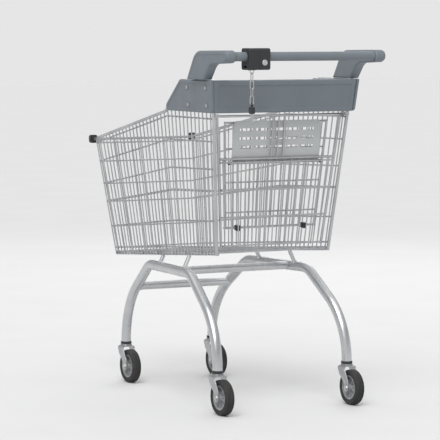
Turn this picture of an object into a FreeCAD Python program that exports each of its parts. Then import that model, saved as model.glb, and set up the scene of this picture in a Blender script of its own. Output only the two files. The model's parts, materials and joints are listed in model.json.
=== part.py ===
import FreeCAD, Part
import math
import os

# Wire shopping cart with a tubular arch chassis, four swivel casters, a swing-up rear gate with a
# folding child seat, and a coin lock with its chain. Millimetres, +X right, +Y forward, +Z up.
# "Ahead" below means forward of the rear swivel axes.

V = FreeCAD.Vector
X_AXIS = V(1, 0, 0)
Y_AXIS = V(0, 1, 0)
Z_AXIS = V(0, 0, 1)

# Overall placing: the rear swivel axes stand this far behind the middle of the cart's length.
REAR_Y = -390.0

# Chassis arches
WHEELBASE = 730.0
REAR_TRACK_HALF = 220.0
FRONT_TRACK_HALF = 155.0
TUBE_R = 15.0
TUBE_WALL = 2.0
ARCH_FOOT_Z = 128.0
ARCH_TOP_Z = 392.0
LEG_BEND_R = 230.0
SHOULDER_R = 80.0
LEG_SWEEP = math.radians(54.0)
CROSSBAR_R = 12.5
FRONT_CROSSBAR_AHEAD = 628.0
REAR_CROSSBAR_AHEAD = 300.0
POST_AHEAD = (262.0, 452.0)
POST_R = 6.0
POST_GAP = 0.6

# Casters
TYRE_R = 52.5
TYRE_W = 28.0
TYRE_SHOULDER_R = 7.0
HUB_R = 36.0
HUB_W = 24.0
BOSS_W = 34.0
AXLE_R = 4.0
RUNNING_FIT = 0.05
TRAIL = 30.0
FORK_GAP_HALF = 18.0
FORK_PLATE = 3.0
CROWN_Z = 112.0
HEAD_TOP_Z = 121.6
COLLAR_Z = 122.0
KINGPIN_R = 6.0
KINGPIN_TOP_Z = 148.0
HEAD_R = 19.0
CROWN_R = 21.0
CROWN_T = 4.0
FORK_EYE_R = 13.0
PLUG_R = 11.4
PLUG_LENGTH = 24.0
BOLT_CORNER_R = 7.5
BOLT_HEAD_T = 4.0
NUT_T = 5.0
HUB_RIM_T = 5.0
HUB_WEB_T = 6.0
HUB_BOSS_R = 10.0
HUB_WINDOWS = 5
WINDOW_R = 6.5
WINDOW_AT_R = 20.5

# Basket: rear edge leans back as it rises, the front leans forward
REAR_TOP = V(235.0, 0.0, 972.0)
REAR_FOOT = V(190.0, 60.0, 470.0)
FRONT_FOOT = V(150.0, 820.0, 410.0)
FRONT_TOP_AHEAD = 912.0
FRONT_TOP_Z = 765.0
SHELF_Z = 872.0
SHELF_AHEAD = 344.0
SLOPE_TOP_AHEAD = 205.0
WIRE_R = 2.0
CROSS_R = 2.5
BELT_R = 3.6
EDGE_R = 3.0
EDGE_DROP = 10.0
RIM_R = 4.5
UPRIGHT_R = 5.0
WELD_BITE = 1.0
TOUCH = 0.05
WIRE_BEHIND_PLATE = 10.0
BUMPER_SIZE = 26.0
BUMPER_DEPTH = 15.0
SIDE_WIRES = 33
FRONT_WIRES = 12
FLOOR_WIRES = 14
FLOOR_ROWS = 8
SIDE_CROSS_AT = (0.03, 0.22, 0.60, 0.80, 0.965)
BELT_AT = 0.44

# Plastic panels and handle
BAND_LOW_Z = 877.0
BAND_T = 12.0
PLATE_T = 9.0
PLATE_OFF = 6.5
BRACKET_IN_X = 232.0
BRACKET_T = 32.0
HANDLE_AHEAD = -120.0
HANDLE_Z = 1040.0
BAR_R = 10.5
BAR_WALL = 2.0
GRIP_R = 13.5
ARM_END_R = 18.0
CAP_T = 3.0

# Rear gate, measured down from its hinge
HINGE_Z = 866.0
GATE_OFF = 12.0
HINGE_ROD_R = 4.0
HINGE_ROD_HALF = 221.0
GATE_TOP_HALF = 208.0
GATE_FOOT_HALF = 170.0
GATE_LENGTH = 391.0
MID_RAIL_AT = 127.0
CENTRE_POST_X = 20.0
GATE_WIRES = 15
EYE_X = 213.2
EYE_W = 4.6
EYE_R = 9.0

# Folding child seat, carried by the gate
SEAT_PIVOT_AT = 335.0
SEAT_PIVOT_OUT = 16.0
SEAT_ROD_R = 3.5
SEAT_TOP_AT = 22.0
SEAT_FOOT_HALF = 150.0
SEAT_TOP_HALF = 172.0
SEAT_WIRES = 13
FLAP_HINGE_AT = 140.0
FLAP_OUT = 7.0
FLAP_T = 4.0
FLAP_LENGTH = 124.0
FLAP_HALF = 148.0
FLAP_PIN_R = 3.0
FLAP_SPINE_R = 4.5
FLAP_CORNER_R = 12.0
FLAP_SLOT_PITCH = 52.0
FLAP_SLOT_HALF = 18.0
FLAP_SLOT_R = 4.0
FLAP_SLOT_ROWS = (26.0, 52.0, 78.0)
CLIP_GAP = 0.1

# Coin lock and chain
LOCK_X = -160.0
LOCK_W = 70.0
LOCK_D = 50.0
LOCK_UP = 24.0
LOCK_DOWN = 38.0
LOCK_EDGE_R = 7.0
TRAY_DEPTH = 30.0
TRAY_PROUD = 5.0
TRAY_W = 26.0
TRAY_T = 4.0
TRAY_DROP = 27.0
COIN_SEAT_R = 11.8
COIN_SEAT_DEPTH = 2.2
KEY_SLOT_DEPTH = 24.0
KEY_SLOT_W = 16.0
KEY_SLOT_T = 6.0
KEY_SLOT_DROP = 32.0
TONGUE_T = 3.0
TONGUE_W = 14.0
TONGUE_LENGTH = 34.0
TONGUE_DROP = 52.0
CHAIN_X = -182.0
CHAIN_AHEAD = -135.0
LINK_R = 1.5
LINK_BEND_R = 5.5
LINK_STRAIGHT = 14.0
LINK_PITCH = 21.7
LINKS = 4
LUG_DROP = 6.0


def at(x, ahead, z):
    return V(x, REAR_Y + ahead, z)


def rod(a, b, radius):
    return Part.makeCylinder(radius, (b - a).Length, a, b - a)


def fused(shapes):
    return shapes[0].multiFuse(shapes[1:]) if len(shapes) > 1 else shapes[0]


def slab(corners, depth):
    return Part.Face(Part.makePolygon(corners + [corners[0]])).extrude(depth)


def mirrored(shape):
    return shape.mirror(V(0, 0, 0), X_AXIS)


def both_sides(shape):
    return Part.makeCompound([mirrored(shape), shape])


def rounded(shape, radius, direction):
    edges = [e for e in shape.Edges if abs(e.tangentAt(e.FirstParameter).dot(direction)) > 0.999]
    return shape.makeFillet(radius, edges)


# ---------------------------------------------------------------- basket planes

def side_x(ahead, z):
    """Half-width of the basket's side plane at a point of the side view."""
    run = REAR_FOOT.y - FRONT_FOOT.y
    rise = REAR_FOOT.z - FRONT_FOOT.z
    a = REAR_TOP - REAR_FOOT
    b = V(REAR_FOOT.x - FRONT_FOOT.x, run, rise)
    n = a.cross(b)
    return REAR_FOOT.x - (n.y * (ahead - REAR_FOOT.y) + n.z * (z - REAR_FOOT.z)) / n.x


def on_side(ahead, z):
    return at(side_x(ahead, z), ahead, z)


def side_normal():
    a = on_side(0, 500) - on_side(100, 500)
    b = on_side(0, 600) - on_side(0, 500)
    n = b.cross(a)
    n.normalize()
    return n if n.x > 0 else n * -1


def rear_ahead(z):
    """How far ahead the basket's leaning rear edge is at a height."""
    return REAR_TOP.y + (REAR_TOP.z - z) * (REAR_FOOT.y - REAR_TOP.y) / (REAR_TOP.z - REAR_FOOT.z)


def rim_z(ahead):
    """Height of the basket's top edge, level under the side plates and then falling to the front."""
    if ahead <= SHELF_AHEAD:
        return SHELF_Z
    t = (ahead - SHELF_AHEAD) / (FRONT_TOP_AHEAD - SHELF_AHEAD)
    return SHELF_Z + (FRONT_TOP_Z - SHELF_Z) * t


def wire_top_z(ahead):
    """Top of a side's upright wire: under the rim, or hidden behind the side plate."""
    if ahead > SHELF_AHEAD:
        return rim_z(ahead) - RIM_R - 0.5
    climb = (SHELF_AHEAD - ahead) / (SHELF_AHEAD - SLOPE_TOP_AHEAD)
    under_slope = SHELF_Z + (REAR_TOP.z - SHELF_Z) * climb - RIM_R - 2.2
    return min(BAND_LOW_Z + WIRE_BEHIND_PLATE, under_slope)


def foot_z(ahead):
    t = (ahead - REAR_FOOT.y) / (FRONT_FOOT.y - REAR_FOOT.y)
    return REAR_FOOT.z + (FRONT_FOOT.z - REAR_FOOT.z) * t


def front_ahead(z):
    """How far ahead the basket's leaning front is at a height."""
    return FRONT_FOOT.y + (FRONT_TOP_AHEAD - FRONT_FOOT.y) * (z - FRONT_FOOT.z) / (FRONT_TOP_Z - FRONT_FOOT.z)


def front_lean():
    return math.atan((FRONT_TOP_AHEAD - FRONT_FOOT.y) / (FRONT_TOP_Z - FRONT_FOOT.z))


def inside_side(ahead, z, away):
    """Half-width of the basket this far inside the middle of a side's wires."""
    return side_x(ahead, z) - away / side_normal().x


def edge_point(ahead):
    """A point of the rod along the right edge of the basket's floor, which touches the side's wires."""
    z = foot_z(ahead) - EDGE_DROP
    return at(inside_side(ahead, z, WIRE_R + EDGE_R + TOUCH), ahead, z)


# ---------------------------------------------------------------- chassis

def arch_points():
    """Side profile of half an arch, as (ahead, height) from the foot to the level top."""
    leg = (LEG_BEND_R * (1 - math.cos(LEG_SWEEP)), ARCH_FOOT_Z + LEG_BEND_R * math.sin(LEG_SWEEP))
    half = LEG_SWEEP / 2
    mid = (LEG_BEND_R * (1 - math.cos(half)), ARCH_FOOT_Z + LEG_BEND_R * math.sin(half))
    climb = math.pi / 2 - LEG_SWEEP
    drop = SHOULDER_R * (1 - math.cos(climb))
    slope_rise = ARCH_TOP_Z - drop - leg[1]
    slope_end = (leg[0] + slope_rise / math.tan(climb), ARCH_TOP_Z - drop)
    top = (slope_end[0] + SHOULDER_R * math.sin(climb), ARCH_TOP_Z)
    bend = (top[0] - SHOULDER_R * math.sin(climb / 2), ARCH_TOP_Z - SHOULDER_R * (1 - math.cos(climb / 2)))
    return (0.0, ARCH_FOOT_Z), mid, leg, slope_end, bend, top


def on_arch(ahead, z):
    t = ahead / WHEELBASE
    return at(REAR_TRACK_HALF + (FRONT_TRACK_HALF - REAR_TRACK_HALF) * t, ahead, z)


def arch_path():
    foot, mid, leg, slope_end, bend, top = [on_arch(*p) for p in arch_points()]
    foot_f, mid_f, leg_f, slope_f, bend_f, top_f = [on_arch(WHEELBASE - p[0], p[1]) for p in arch_points()]
    edges = [
        Part.Arc(foot, mid, leg).toShape(),
        Part.makeLine(leg, slope_end),
        Part.Arc(slope_end, bend, top).toShape(),
        Part.makeLine(top, top_f),
        Part.Arc(top_f, bend_f, slope_f).toShape(),
        Part.makeLine(slope_f, leg_f),
        Part.Arc(leg_f, mid_f, foot_f).toShape(),
    ]
    return Part.Wire(edges)


def swept(path, radius):
    start = path.Edges[0].valueAt(path.Edges[0].FirstParameter)
    tangent = path.Edges[0].tangentAt(path.Edges[0].FirstParameter)
    ring = Part.Wire(Part.makeCircle(radius, start, tangent))
    return path.makePipeShell([ring], True, False)


def arch_solid(radius):
    return swept(arch_path(), radius)


def chassis_arch():
    return arch_solid(TUBE_R).cut(arch_solid(TUBE_R - TUBE_WALL))


def crossbar(ahead, z, arch):
    reach = on_arch(ahead, z).x
    bar = Part.makeCylinder(CROSSBAR_R, 2 * reach, at(-reach, ahead, z), X_AXIS)
    return bar.cut(arch).cut(mirrored(arch))


def front_crossbar(arch):
    """Crossbar between the front legs, where their bend ends."""
    leg_z = ARCH_FOOT_Z + LEG_BEND_R * math.sin(LEG_SWEEP)
    return crossbar(FRONT_CROSSBAR_AHEAD, leg_z, arch)


def support_posts(arch):
    """Short posts that carry the edge rods of the basket's floor."""
    posts = []
    for ahead in POST_AHEAD:
        foot = on_arch(ahead, ARCH_TOP_Z)
        head = edge_point(ahead) - Z_AXIS * (EDGE_R + POST_GAP)
        posts.append(rod(foot, head, POST_R).cut(arch))
    return Part.makeCompound([mirrored(p) for p in posts] + posts)


# ---------------------------------------------------------------- basket

def basket_side():
    """Side grille: upright wires with cross wires and a thicker belt wire on the inside."""
    n = side_normal()
    wires = []
    for i in range(SIDE_WIRES):
        t = (i + 0.35) / (SIDE_WIRES - 0.3)
        foot_ahead = REAR_FOOT.y + 10 + (FRONT_FOOT.y - REAR_FOOT.y - 14) * t
        top_ahead = rear_ahead(SHELF_Z) + 10 + (FRONT_TOP_AHEAD - rear_ahead(SHELF_Z) - 14) * t
        foot = on_side(foot_ahead, foot_z(foot_ahead) - EDGE_DROP - 1)
        top = on_side(top_ahead, wire_top_z(top_ahead))
        wires.append(rod(foot, top, WIRE_R))
    for t in SIDE_CROSS_AT + (BELT_AT,):
        radius = BELT_R if t == BELT_AT else CROSS_R
        away = WIRE_R + radius - WELD_BITE
        rear_z = REAR_FOOT.z + (SHELF_Z - REAR_FOOT.z) * t
        rear = on_side(rear_ahead(rear_z), rear_z)
        knee_ahead = SHELF_AHEAD
        knee = on_side(knee_ahead, foot_z(knee_ahead) + (SHELF_Z - foot_z(knee_ahead)) * t)
        nose_z = FRONT_FOOT.z + (FRONT_TOP_Z - FRONT_FOOT.z) * t
        nose = on_side(front_ahead(nose_z) - 1, nose_z)
        off = n * -away
        wires.append(rod(rear + off, knee + off, radius))
        wires.append(rod(knee + off, nose + off, radius))
        wires.append(Part.makeSphere(radius, knee + off))
    return fused(wires).cut(rear_upright())


def basket_front():
    """Front grille, leaning forward."""
    low_half = side_x(FRONT_FOOT.y, FRONT_FOOT.z) - 12
    top_half = side_x(FRONT_TOP_AHEAD, FRONT_TOP_Z) - 12
    lift = V(0, -(WIRE_R + CROSS_R - WELD_BITE), 0)
    wires = []
    for i in range(FRONT_WIRES):
        s = -1 + 2 * i / (FRONT_WIRES - 1)
        foot_down = FRONT_FOOT.z - 2 * WIRE_R - 2 * CROSS_R
        foot = at(s * low_half, front_ahead(foot_down), foot_down)
        top = at(s * top_half, FRONT_TOP_AHEAD - 1, FRONT_TOP_Z - RIM_R - 0.5)
        wires.append(rod(foot, top, WIRE_R))
    for t in SIDE_CROSS_AT + (BELT_AT,):
        z = FRONT_FOOT.z + (FRONT_TOP_Z - FRONT_FOOT.z) * t
        ahead = front_ahead(z)
        side_r = BELT_R if t == BELT_AT else CROSS_R
        half = inside_side(ahead, z, WIRE_R + 2 * side_r - WELD_BITE)
        wires.append(rod(at(-half, ahead, z) + lift, at(half, ahead, z) + lift, CROSS_R))
    return fused(wires)


def basket_floor():
    """Floor grille: long wires lying on cross wires, whose ends lie on an edge rod at each side."""
    wires = []
    rear_half = REAR_FOOT.x - 6
    front_half = FRONT_FOOT.x - 6
    rear_ahead_floor = REAR_FOOT.y - 2
    front_ahead_floor = FRONT_FOOT.y - 4
    for i in range(FLOOR_WIRES):
        s = -1 + 2 * i / (FLOOR_WIRES - 1)
        a = at(s * rear_half, rear_ahead_floor, REAR_FOOT.z - WIRE_R)
        b = at(s * front_half, front_ahead_floor, FRONT_FOOT.z - WIRE_R)
        wires.append(rod(a, b, WIRE_R))
    drop = 2 * WIRE_R + CROSS_R - WELD_BITE
    first_row = REAR_FOOT.y + 3
    last_row = front_ahead(FRONT_FOOT.z - drop) - (WIRE_R + CROSS_R) / math.cos(front_lean()) - TOUCH
    for i in range(FLOOR_ROWS):
        ahead = first_row + (last_row - first_row) * i / (FLOOR_ROWS - 1)
        z = foot_z(ahead) - drop
        half = inside_side(ahead, z, WIRE_R + TOUCH)
        wires.append(rod(at(-half, ahead, z), at(half, ahead, z), CROSS_R))
    edge = rod(edge_point(REAR_FOOT.y), edge_point(last_row), EDGE_R)
    return fused(wires + [edge, mirrored(edge)]).cut([rear_upright(), mirrored(rear_upright())])


def basket_rim():
    """One side's top edge: from the rear corner, down the short slope and along to the front."""
    start = on_side(UPRIGHT_R + 4, REAR_TOP.z - RIM_R - 2)
    crest = on_side(SLOPE_TOP_AHEAD, REAR_TOP.z - RIM_R - 2)
    knee = on_side(SHELF_AHEAD, SHELF_Z)
    nose = on_side(FRONT_TOP_AHEAD - 2 * RIM_R, rim_z(FRONT_TOP_AHEAD - 2 * RIM_R))
    parts = [rod(start, crest, RIM_R), rod(crest, knee, RIM_R), rod(knee, nose, RIM_R)]
    parts += [Part.makeSphere(RIM_R, p) for p in (crest, knee)]
    return fused(parts)


def basket_rim_front():
    half = side_x(FRONT_TOP_AHEAD, FRONT_TOP_Z) + RIM_R
    return rod(at(-half, FRONT_TOP_AHEAD, FRONT_TOP_Z), at(half, FRONT_TOP_AHEAD, FRONT_TOP_Z), RIM_R)


def rear_upright():
    beyond = (EDGE_DROP + EDGE_R) / (REAR_TOP.z - REAR_FOOT.z)
    foot = REAR_FOOT + (REAR_FOOT - REAR_TOP) * beyond
    return rod(at(*foot), at(*REAR_TOP), UPRIGHT_R)


def front_bumpers():
    """Rounded plastic buffers over the two front top corners."""
    half = side_x(FRONT_TOP_AHEAD, FRONT_TOP_Z)
    size = BUMPER_SIZE
    corner = at(half - size / 2 + 4, FRONT_TOP_AHEAD - 2, FRONT_TOP_Z - size / 2)
    box = Part.makeBox(size, BUMPER_DEPTH, size, corner)
    box = rounded(box, 5, Y_AXIS)
    cut = rod(at(0, FRONT_TOP_AHEAD, FRONT_TOP_Z), at(half + RIM_R, FRONT_TOP_AHEAD, FRONT_TOP_Z), RIM_R)
    return both_sides(box.cut(cut))


# ---------------------------------------------------------------- plastic panels and handle

def rear_band():
    lean = V(0, rear_ahead(BAND_LOW_Z) - rear_ahead(REAR_TOP.z), BAND_LOW_Z - REAR_TOP.z)
    out = V(0, lean.z, -lean.y)
    out.normalize()
    gap = UPRIGHT_R + 0.2
    low_half = side_x(0, BAND_LOW_Z) + PLATE_OFF - 0.3
    top_half = side_x(0, REAR_TOP.z) + PLATE_OFF - 0.3
    corners = [
        at(-low_half, rear_ahead(BAND_LOW_Z), BAND_LOW_Z),
        at(low_half, rear_ahead(BAND_LOW_Z), BAND_LOW_Z),
        at(top_half, rear_ahead(REAR_TOP.z), REAR_TOP.z),
        at(-top_half, rear_ahead(REAR_TOP.z), REAR_TOP.z),
    ]
    corners = [c + out * gap for c in corners]
    return rounded(slab(corners, out * BAND_T), 3, X_AXIS)


def plate_corners():
    rear = -UPRIGHT_R - BAND_T - 1
    return [
        (rear + 12, BAND_LOW_Z),
        (SHELF_AHEAD - 10, BAND_LOW_Z),
        (SLOPE_TOP_AHEAD - 8, REAR_TOP.z),
        (rear, REAR_TOP.z),
    ]


def side_plate():
    n = side_normal()
    corners = [on_side(*c) + n * PLATE_OFF for c in plate_corners()]
    plate = slab(corners, n * PLATE_T)
    outer = max(plate.Faces, key=lambda f: f.CenterOfMass.dot(n))
    return plate.makeFillet(2.5, outer.Edges)


def plate_screws():
    n = side_normal()
    screws = []
    for ahead in (25.0, 150.0):
        for z in (BAND_LOW_Z + 22, REAR_TOP.z - 22):
            base = on_side(ahead, z) + n * (PLATE_OFF + PLATE_T)
            head = Part.makeCylinder(5.5, 2.2, base, n).cut(Part.makeCylinder(2, 2, base + n * 1.2, n))
            screws.append(head)
    return Part.makeCompound([mirrored(s) for s in screws] + screws)


def handle_bracket():
    """Upright on the side plate whose arm sweeps back to hold the handle."""
    base_z = REAR_TOP.z + 0.1
    low = HANDLE_Z - ARM_END_R
    high = HANDLE_Z + ARM_END_R
    profile = [(8, base_z), (112, base_z), (72, low + 2), (50, high - 6), (HANDLE_AHEAD, high),
               (HANDLE_AHEAD, low), (-38, low - 6)]
    corners = [at(BRACKET_IN_X, a, z) for a, z in profile]
    body = slab(corners, X_AXIS * BRACKET_T)
    end = Part.makeCylinder(ARM_END_R, BRACKET_T, at(BRACKET_IN_X, HANDLE_AHEAD, HANDLE_Z), X_AXIS)
    body = body.fuse(end).removeSplitter()
    bore = Part.makeCylinder(BAR_R + RUNNING_FIT, BRACKET_T, at(BRACKET_IN_X, HANDLE_AHEAD, HANDLE_Z), X_AXIS)
    softened = []
    for e in body.Edges:
        if abs(e.BoundBox.XMin - e.BoundBox.XMax) < 0.01 and e.BoundBox.ZMin > base_z + 0.5:
            softened.append(e)
    return body.makeFillet(4, softened).cut(bore)


def handle_bar():
    half = BRACKET_IN_X + BRACKET_T
    start = at(-half, HANDLE_AHEAD, HANDLE_Z)
    return Part.makeCylinder(BAR_R, 2 * half, start, X_AXIS).cut(
        Part.makeCylinder(BAR_R - BAR_WALL, 2 * half, start, X_AXIS))


def handle_grip():
    half = BRACKET_IN_X - 0.2
    start = at(-half, HANDLE_AHEAD, HANDLE_Z)
    sleeve = Part.makeCylinder(GRIP_R, 2 * half, start, X_AXIS)
    return sleeve.cut(Part.makeCylinder(BAR_R + RUNNING_FIT, 2 * half, start, X_AXIS))


def handle_end_caps():
    face_x = BRACKET_IN_X + BRACKET_T
    centre = at(face_x, HANDLE_AHEAD, HANDLE_Z)
    disc = Part.makeCylinder(ARM_END_R - 3, CAP_T, centre, X_AXIS)
    disc = disc.makeFillet(1.5, [e for e in disc.Edges if e.BoundBox.XMin > face_x + CAP_T - 0.1])
    plug = Part.makeCylinder(BAR_R - BAR_WALL - 0.1, 10, centre - X_AXIS * 10, X_AXIS)
    return both_sides(disc.fuse(plug))


# ---------------------------------------------------------------- gate and child seat

def on_gate(x, down, out):
    """A point of the gate: down from its hinge, and out from its plane towards the basket."""
    span = REAR_TOP.z - REAR_FOOT.z
    lean = REAR_FOOT.y - REAR_TOP.y
    length = math.hypot(span, lean)
    hinge = at(x, rear_ahead(HINGE_Z) + GATE_OFF, HINGE_Z)
    return hinge + V(0, lean, -span) * (down / length) + V(0, span, lean) * (out / length)


def gate_half(down):
    return GATE_TOP_HALF + (GATE_FOOT_HALF - GATE_TOP_HALF) * down / GATE_LENGTH


def gate_hinge_eyes():
    """Saddles on the rear uprights, each with an eye for the gate's hinge rod."""
    c = on_gate(EYE_X, 0, 0)
    ring = Part.makeCylinder(EYE_R, EYE_W, c, X_AXIS)
    reach = side_x(rear_ahead(HINGE_Z), HINGE_Z) - EYE_X
    saddle = Part.makeBox(reach, 19, 10, V(EYE_X, c.y - 23, c.z - 3))
    bore = Part.makeCylinder(HINGE_ROD_R + RUNNING_FIT, EYE_W, c, X_AXIS)
    return both_sides(ring.fuse(saddle).cut([rear_upright(), bore]))


def gate_hinge_rod():
    return rod(on_gate(-HINGE_ROD_HALF, 0, 0), on_gate(HINGE_ROD_HALF, 0, 0), HINGE_ROD_R)


def gate_posts():
    """Side rods of the gate and the short posts between the two leg openings."""
    side = rod(on_gate(gate_half(0), HINGE_ROD_R, 0), on_gate(GATE_FOOT_HALF, GATE_LENGTH, 0), HINGE_ROD_R)
    reach = MID_RAIL_AT - HINGE_ROD_R
    centre = rod(on_gate(CENTRE_POST_X, HINGE_ROD_R, 0), on_gate(CENTRE_POST_X, reach, 0), WIRE_R + 0.5)
    middle = rod(on_gate(0, HINGE_ROD_R, 0), on_gate(0, reach, 0), WIRE_R + 0.5)
    return Part.makeCompound([mirrored(side), side, mirrored(centre), centre, middle])


def gate_mid_rail():
    half = gate_half(MID_RAIL_AT) - HINGE_ROD_R
    return rod(on_gate(-half, MID_RAIL_AT, 0), on_gate(half, MID_RAIL_AT, 0), HINGE_ROD_R)


def gate_lower_grille():
    """Wires of the gate below the leg openings."""
    wires = []
    top = MID_RAIL_AT + HINGE_ROD_R
    for i in range(GATE_WIRES):
        s = -1 + 2 * (i + 0.5) / GATE_WIRES
        a = on_gate(s * (gate_half(top) - 2), top, 0)
        b = on_gate(s * (GATE_FOOT_HALF - 2), GATE_LENGTH, 0)
        wires.append(rod(a, b, WIRE_R))
    for down, radius in ((top + 6, CROSS_R), (218.0, BELT_R), (300.0, CROSS_R), (GATE_LENGTH - 6, CROSS_R)):
        out = -(WIRE_R + radius - WELD_BITE)
        half = gate_half(down) - HINGE_ROD_R - 0.2
        wires.append(rod(on_gate(-half, down, out), on_gate(half, down, out), radius))
    return fused(wires)


def clip(x, width, down, out, ring_r, bore_r):
    """A block on the gate's wires with a bore across it."""
    reach = out - WIRE_R - CLIP_GAP
    corners = [on_gate(x, down - ring_r, out), on_gate(x, down + ring_r, out),
               on_gate(x, down + ring_r, out - reach), on_gate(x, down - ring_r, out - reach)]
    block = slab(corners, X_AXIS * width)
    ring = Part.makeCylinder(ring_r, width, on_gate(x, down, out), X_AXIS)
    return block.fuse(ring).cut(Part.makeCylinder(bore_r, width, on_gate(x, down, out), X_AXIS))


def seat_hinge_clips():
    pitch = 2 * SEAT_FOOT_HALF / (SEAT_WIRES - 1)
    x = pitch * 4.5 - 5
    return both_sides(clip(x, 10, SEAT_PIVOT_AT, SEAT_PIVOT_OUT, 8, SEAT_ROD_R + RUNNING_FIT))


def flap_hinge_clips():
    ring_r = FLAP_OUT - WIRE_R - CLIP_GAP
    return both_sides(clip(FLAP_HALF + 1.5, 9, FLAP_HINGE_AT, FLAP_OUT, ring_r, FLAP_PIN_R + RUNNING_FIT))


def seat_back_grille():
    """Child seat's back: a frame of thicker rod with thin wires, turning on its lowest rod."""
    wires = [rod(on_gate(-SEAT_FOOT_HALF - 6, SEAT_PIVOT_AT, SEAT_PIVOT_OUT),
                 on_gate(SEAT_FOOT_HALF + 6, SEAT_PIVOT_AT, SEAT_PIVOT_OUT), SEAT_ROD_R)]
    for i in range(SEAT_WIRES):
        s = -1 + 2 * i / (SEAT_WIRES - 1)
        edge = i in (0, SEAT_WIRES - 1)
        radius = SEAT_ROD_R - 0.5 if edge else WIRE_R
        wires.append(rod(on_gate(s * SEAT_FOOT_HALF, SEAT_PIVOT_AT, SEAT_PIVOT_OUT),
                         on_gate(s * SEAT_TOP_HALF, SEAT_TOP_AT, SEAT_PIVOT_OUT), radius))
    for down, radius in ((SEAT_TOP_AT, SEAT_ROD_R), (100.0, CROSS_R), (200.0, CROSS_R), (290.0, CROSS_R)):
        t = (SEAT_PIVOT_AT - down) / (SEAT_PIVOT_AT - SEAT_TOP_AT)
        half = SEAT_FOOT_HALF + (SEAT_TOP_HALF - SEAT_FOOT_HALF) * t + 2
        out = SEAT_PIVOT_OUT + (0 if down == SEAT_TOP_AT else WIRE_R + radius - WELD_BITE)
        wires.append(rod(on_gate(-half, down, out), on_gate(half, down, out), radius))
    return fused(wires)


def flap_slot(x, down, inner, depth):
    """A long slot through the flap with round ends."""
    left = on_gate(x - FLAP_SLOT_HALF, down, inner)
    right = on_gate(x + FLAP_SLOT_HALF, down, inner)
    half = on_gate(x, down - FLAP_SLOT_R, inner) - on_gate(x, down, inner)
    middle = slab([left + half, right + half, right - half, left - half], depth)
    ends = [Part.makeCylinder(FLAP_SLOT_R, FLAP_T, p, depth) for p in (left, right)]
    return [middle] + ends


def seat_flap_panel():
    """Slotted plastic seat base with a pin at each end of its lower edge."""
    low = FLAP_HINGE_AT - FLAP_PIN_R
    high = FLAP_HINGE_AT - FLAP_LENGTH
    inner = FLAP_OUT - FLAP_T / 2
    depth = on_gate(0, 0, FLAP_T) - on_gate(0, 0, 0)
    corners = [on_gate(-FLAP_HALF, low, inner), on_gate(FLAP_HALF, low, inner),
               on_gate(FLAP_HALF, high, inner), on_gate(-FLAP_HALF, high, inner)]
    panel = rounded(slab(corners, depth), FLAP_CORNER_R, depth * (1 / FLAP_T))
    slots = []
    for column in range(-2, 3):
        for row in FLAP_SLOT_ROWS:
            slots += flap_slot(column * FLAP_SLOT_PITCH, high + row, inner, depth)
    spine = rod(on_gate(-FLAP_HALF, FLAP_HINGE_AT, FLAP_OUT), on_gate(FLAP_HALF, FLAP_HINGE_AT, FLAP_OUT),
                FLAP_SPINE_R)
    pin_half = FLAP_HALF + 9
    pins = rod(on_gate(-pin_half, FLAP_HINGE_AT, FLAP_OUT), on_gate(pin_half, FLAP_HINGE_AT, FLAP_OUT),
               FLAP_PIN_R)
    return panel.cut(slots).multiFuse([spine, pins])


# ---------------------------------------------------------------- coin lock and chain

def coin_lock_housing():
    """Case clamped on the grip, with a slot for the coin tray and one for another cart's key."""
    corner = at(LOCK_X - LOCK_W / 2, HANDLE_AHEAD - LOCK_D / 2, HANDLE_Z - LOCK_DOWN)
    box = Part.makeBox(LOCK_W, LOCK_D, LOCK_UP + LOCK_DOWN, corner)
    box = rounded(box, LOCK_EDGE_R, X_AXIS)
    ends = [e for e in box.Edges if e.BoundBox.XLength < 0.01]
    box = box.makeFillet(2, ends)
    bar = Part.makeCylinder(GRIP_R + RUNNING_FIT, LOCK_W, corner + V(0, LOCK_D / 2, LOCK_DOWN), X_AXIS)
    tray = coin_tray_block(0.4)
    key_corner = at(LOCK_X - LOCK_W / 2, HANDLE_AHEAD - KEY_SLOT_W / 2, HANDLE_Z - KEY_SLOT_DROP)
    key = Part.makeBox(KEY_SLOT_DEPTH, KEY_SLOT_W, KEY_SLOT_T, key_corner)
    return box.cut([bar, tray, key])


def coin_tray_block(grow):
    """The coin tray's body; grown by a clearance it is the slot in the housing."""
    x = LOCK_X + LOCK_W / 2 - TRAY_DEPTH
    corner = at(x - grow, HANDLE_AHEAD - TRAY_W / 2 - grow, HANDLE_Z - TRAY_DROP - grow)
    return Part.makeBox(TRAY_DEPTH + TRAY_PROUD, TRAY_W + 2 * grow, TRAY_T + 2 * grow, corner)


def coin_tray():
    """Sliding tray with a round seat for the coin."""
    x = LOCK_X + LOCK_W / 2 - TRAY_W / 2
    seat_z = HANDLE_Z - TRAY_DROP + TRAY_T - COIN_SEAT_DEPTH
    seat = Part.makeCylinder(COIN_SEAT_R, COIN_SEAT_DEPTH + 1, at(x, HANDLE_AHEAD, seat_z), Z_AXIS)
    return coin_tray_block(0).cut(seat)


def link_shape(centre, across):
    """A stadium-shaped chain link hanging in the plane of Z and the given axis."""
    half = LINK_STRAIGHT / 2
    wall = Part.Arc(centre + Z_AXIS * half - across * LINK_BEND_R,
                    centre + Z_AXIS * (half + LINK_BEND_R),
                    centre + Z_AXIS * half + across * LINK_BEND_R).toShape()
    foot = Part.Arc(centre - Z_AXIS * half + across * LINK_BEND_R,
                    centre - Z_AXIS * (half + LINK_BEND_R),
                    centre - Z_AXIS * half - across * LINK_BEND_R).toShape()
    right = Part.makeLine(centre + Z_AXIS * half + across * LINK_BEND_R,
                          centre - Z_AXIS * half + across * LINK_BEND_R)
    left = Part.makeLine(centre - Z_AXIS * half - across * LINK_BEND_R,
                         centre + Z_AXIS * half - across * LINK_BEND_R)
    pieces = []
    for path in (wall, right, foot, left):
        pieces.append(swept(Part.Wire([path]), LINK_R))
    return fused(pieces).removeSplitter()


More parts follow.
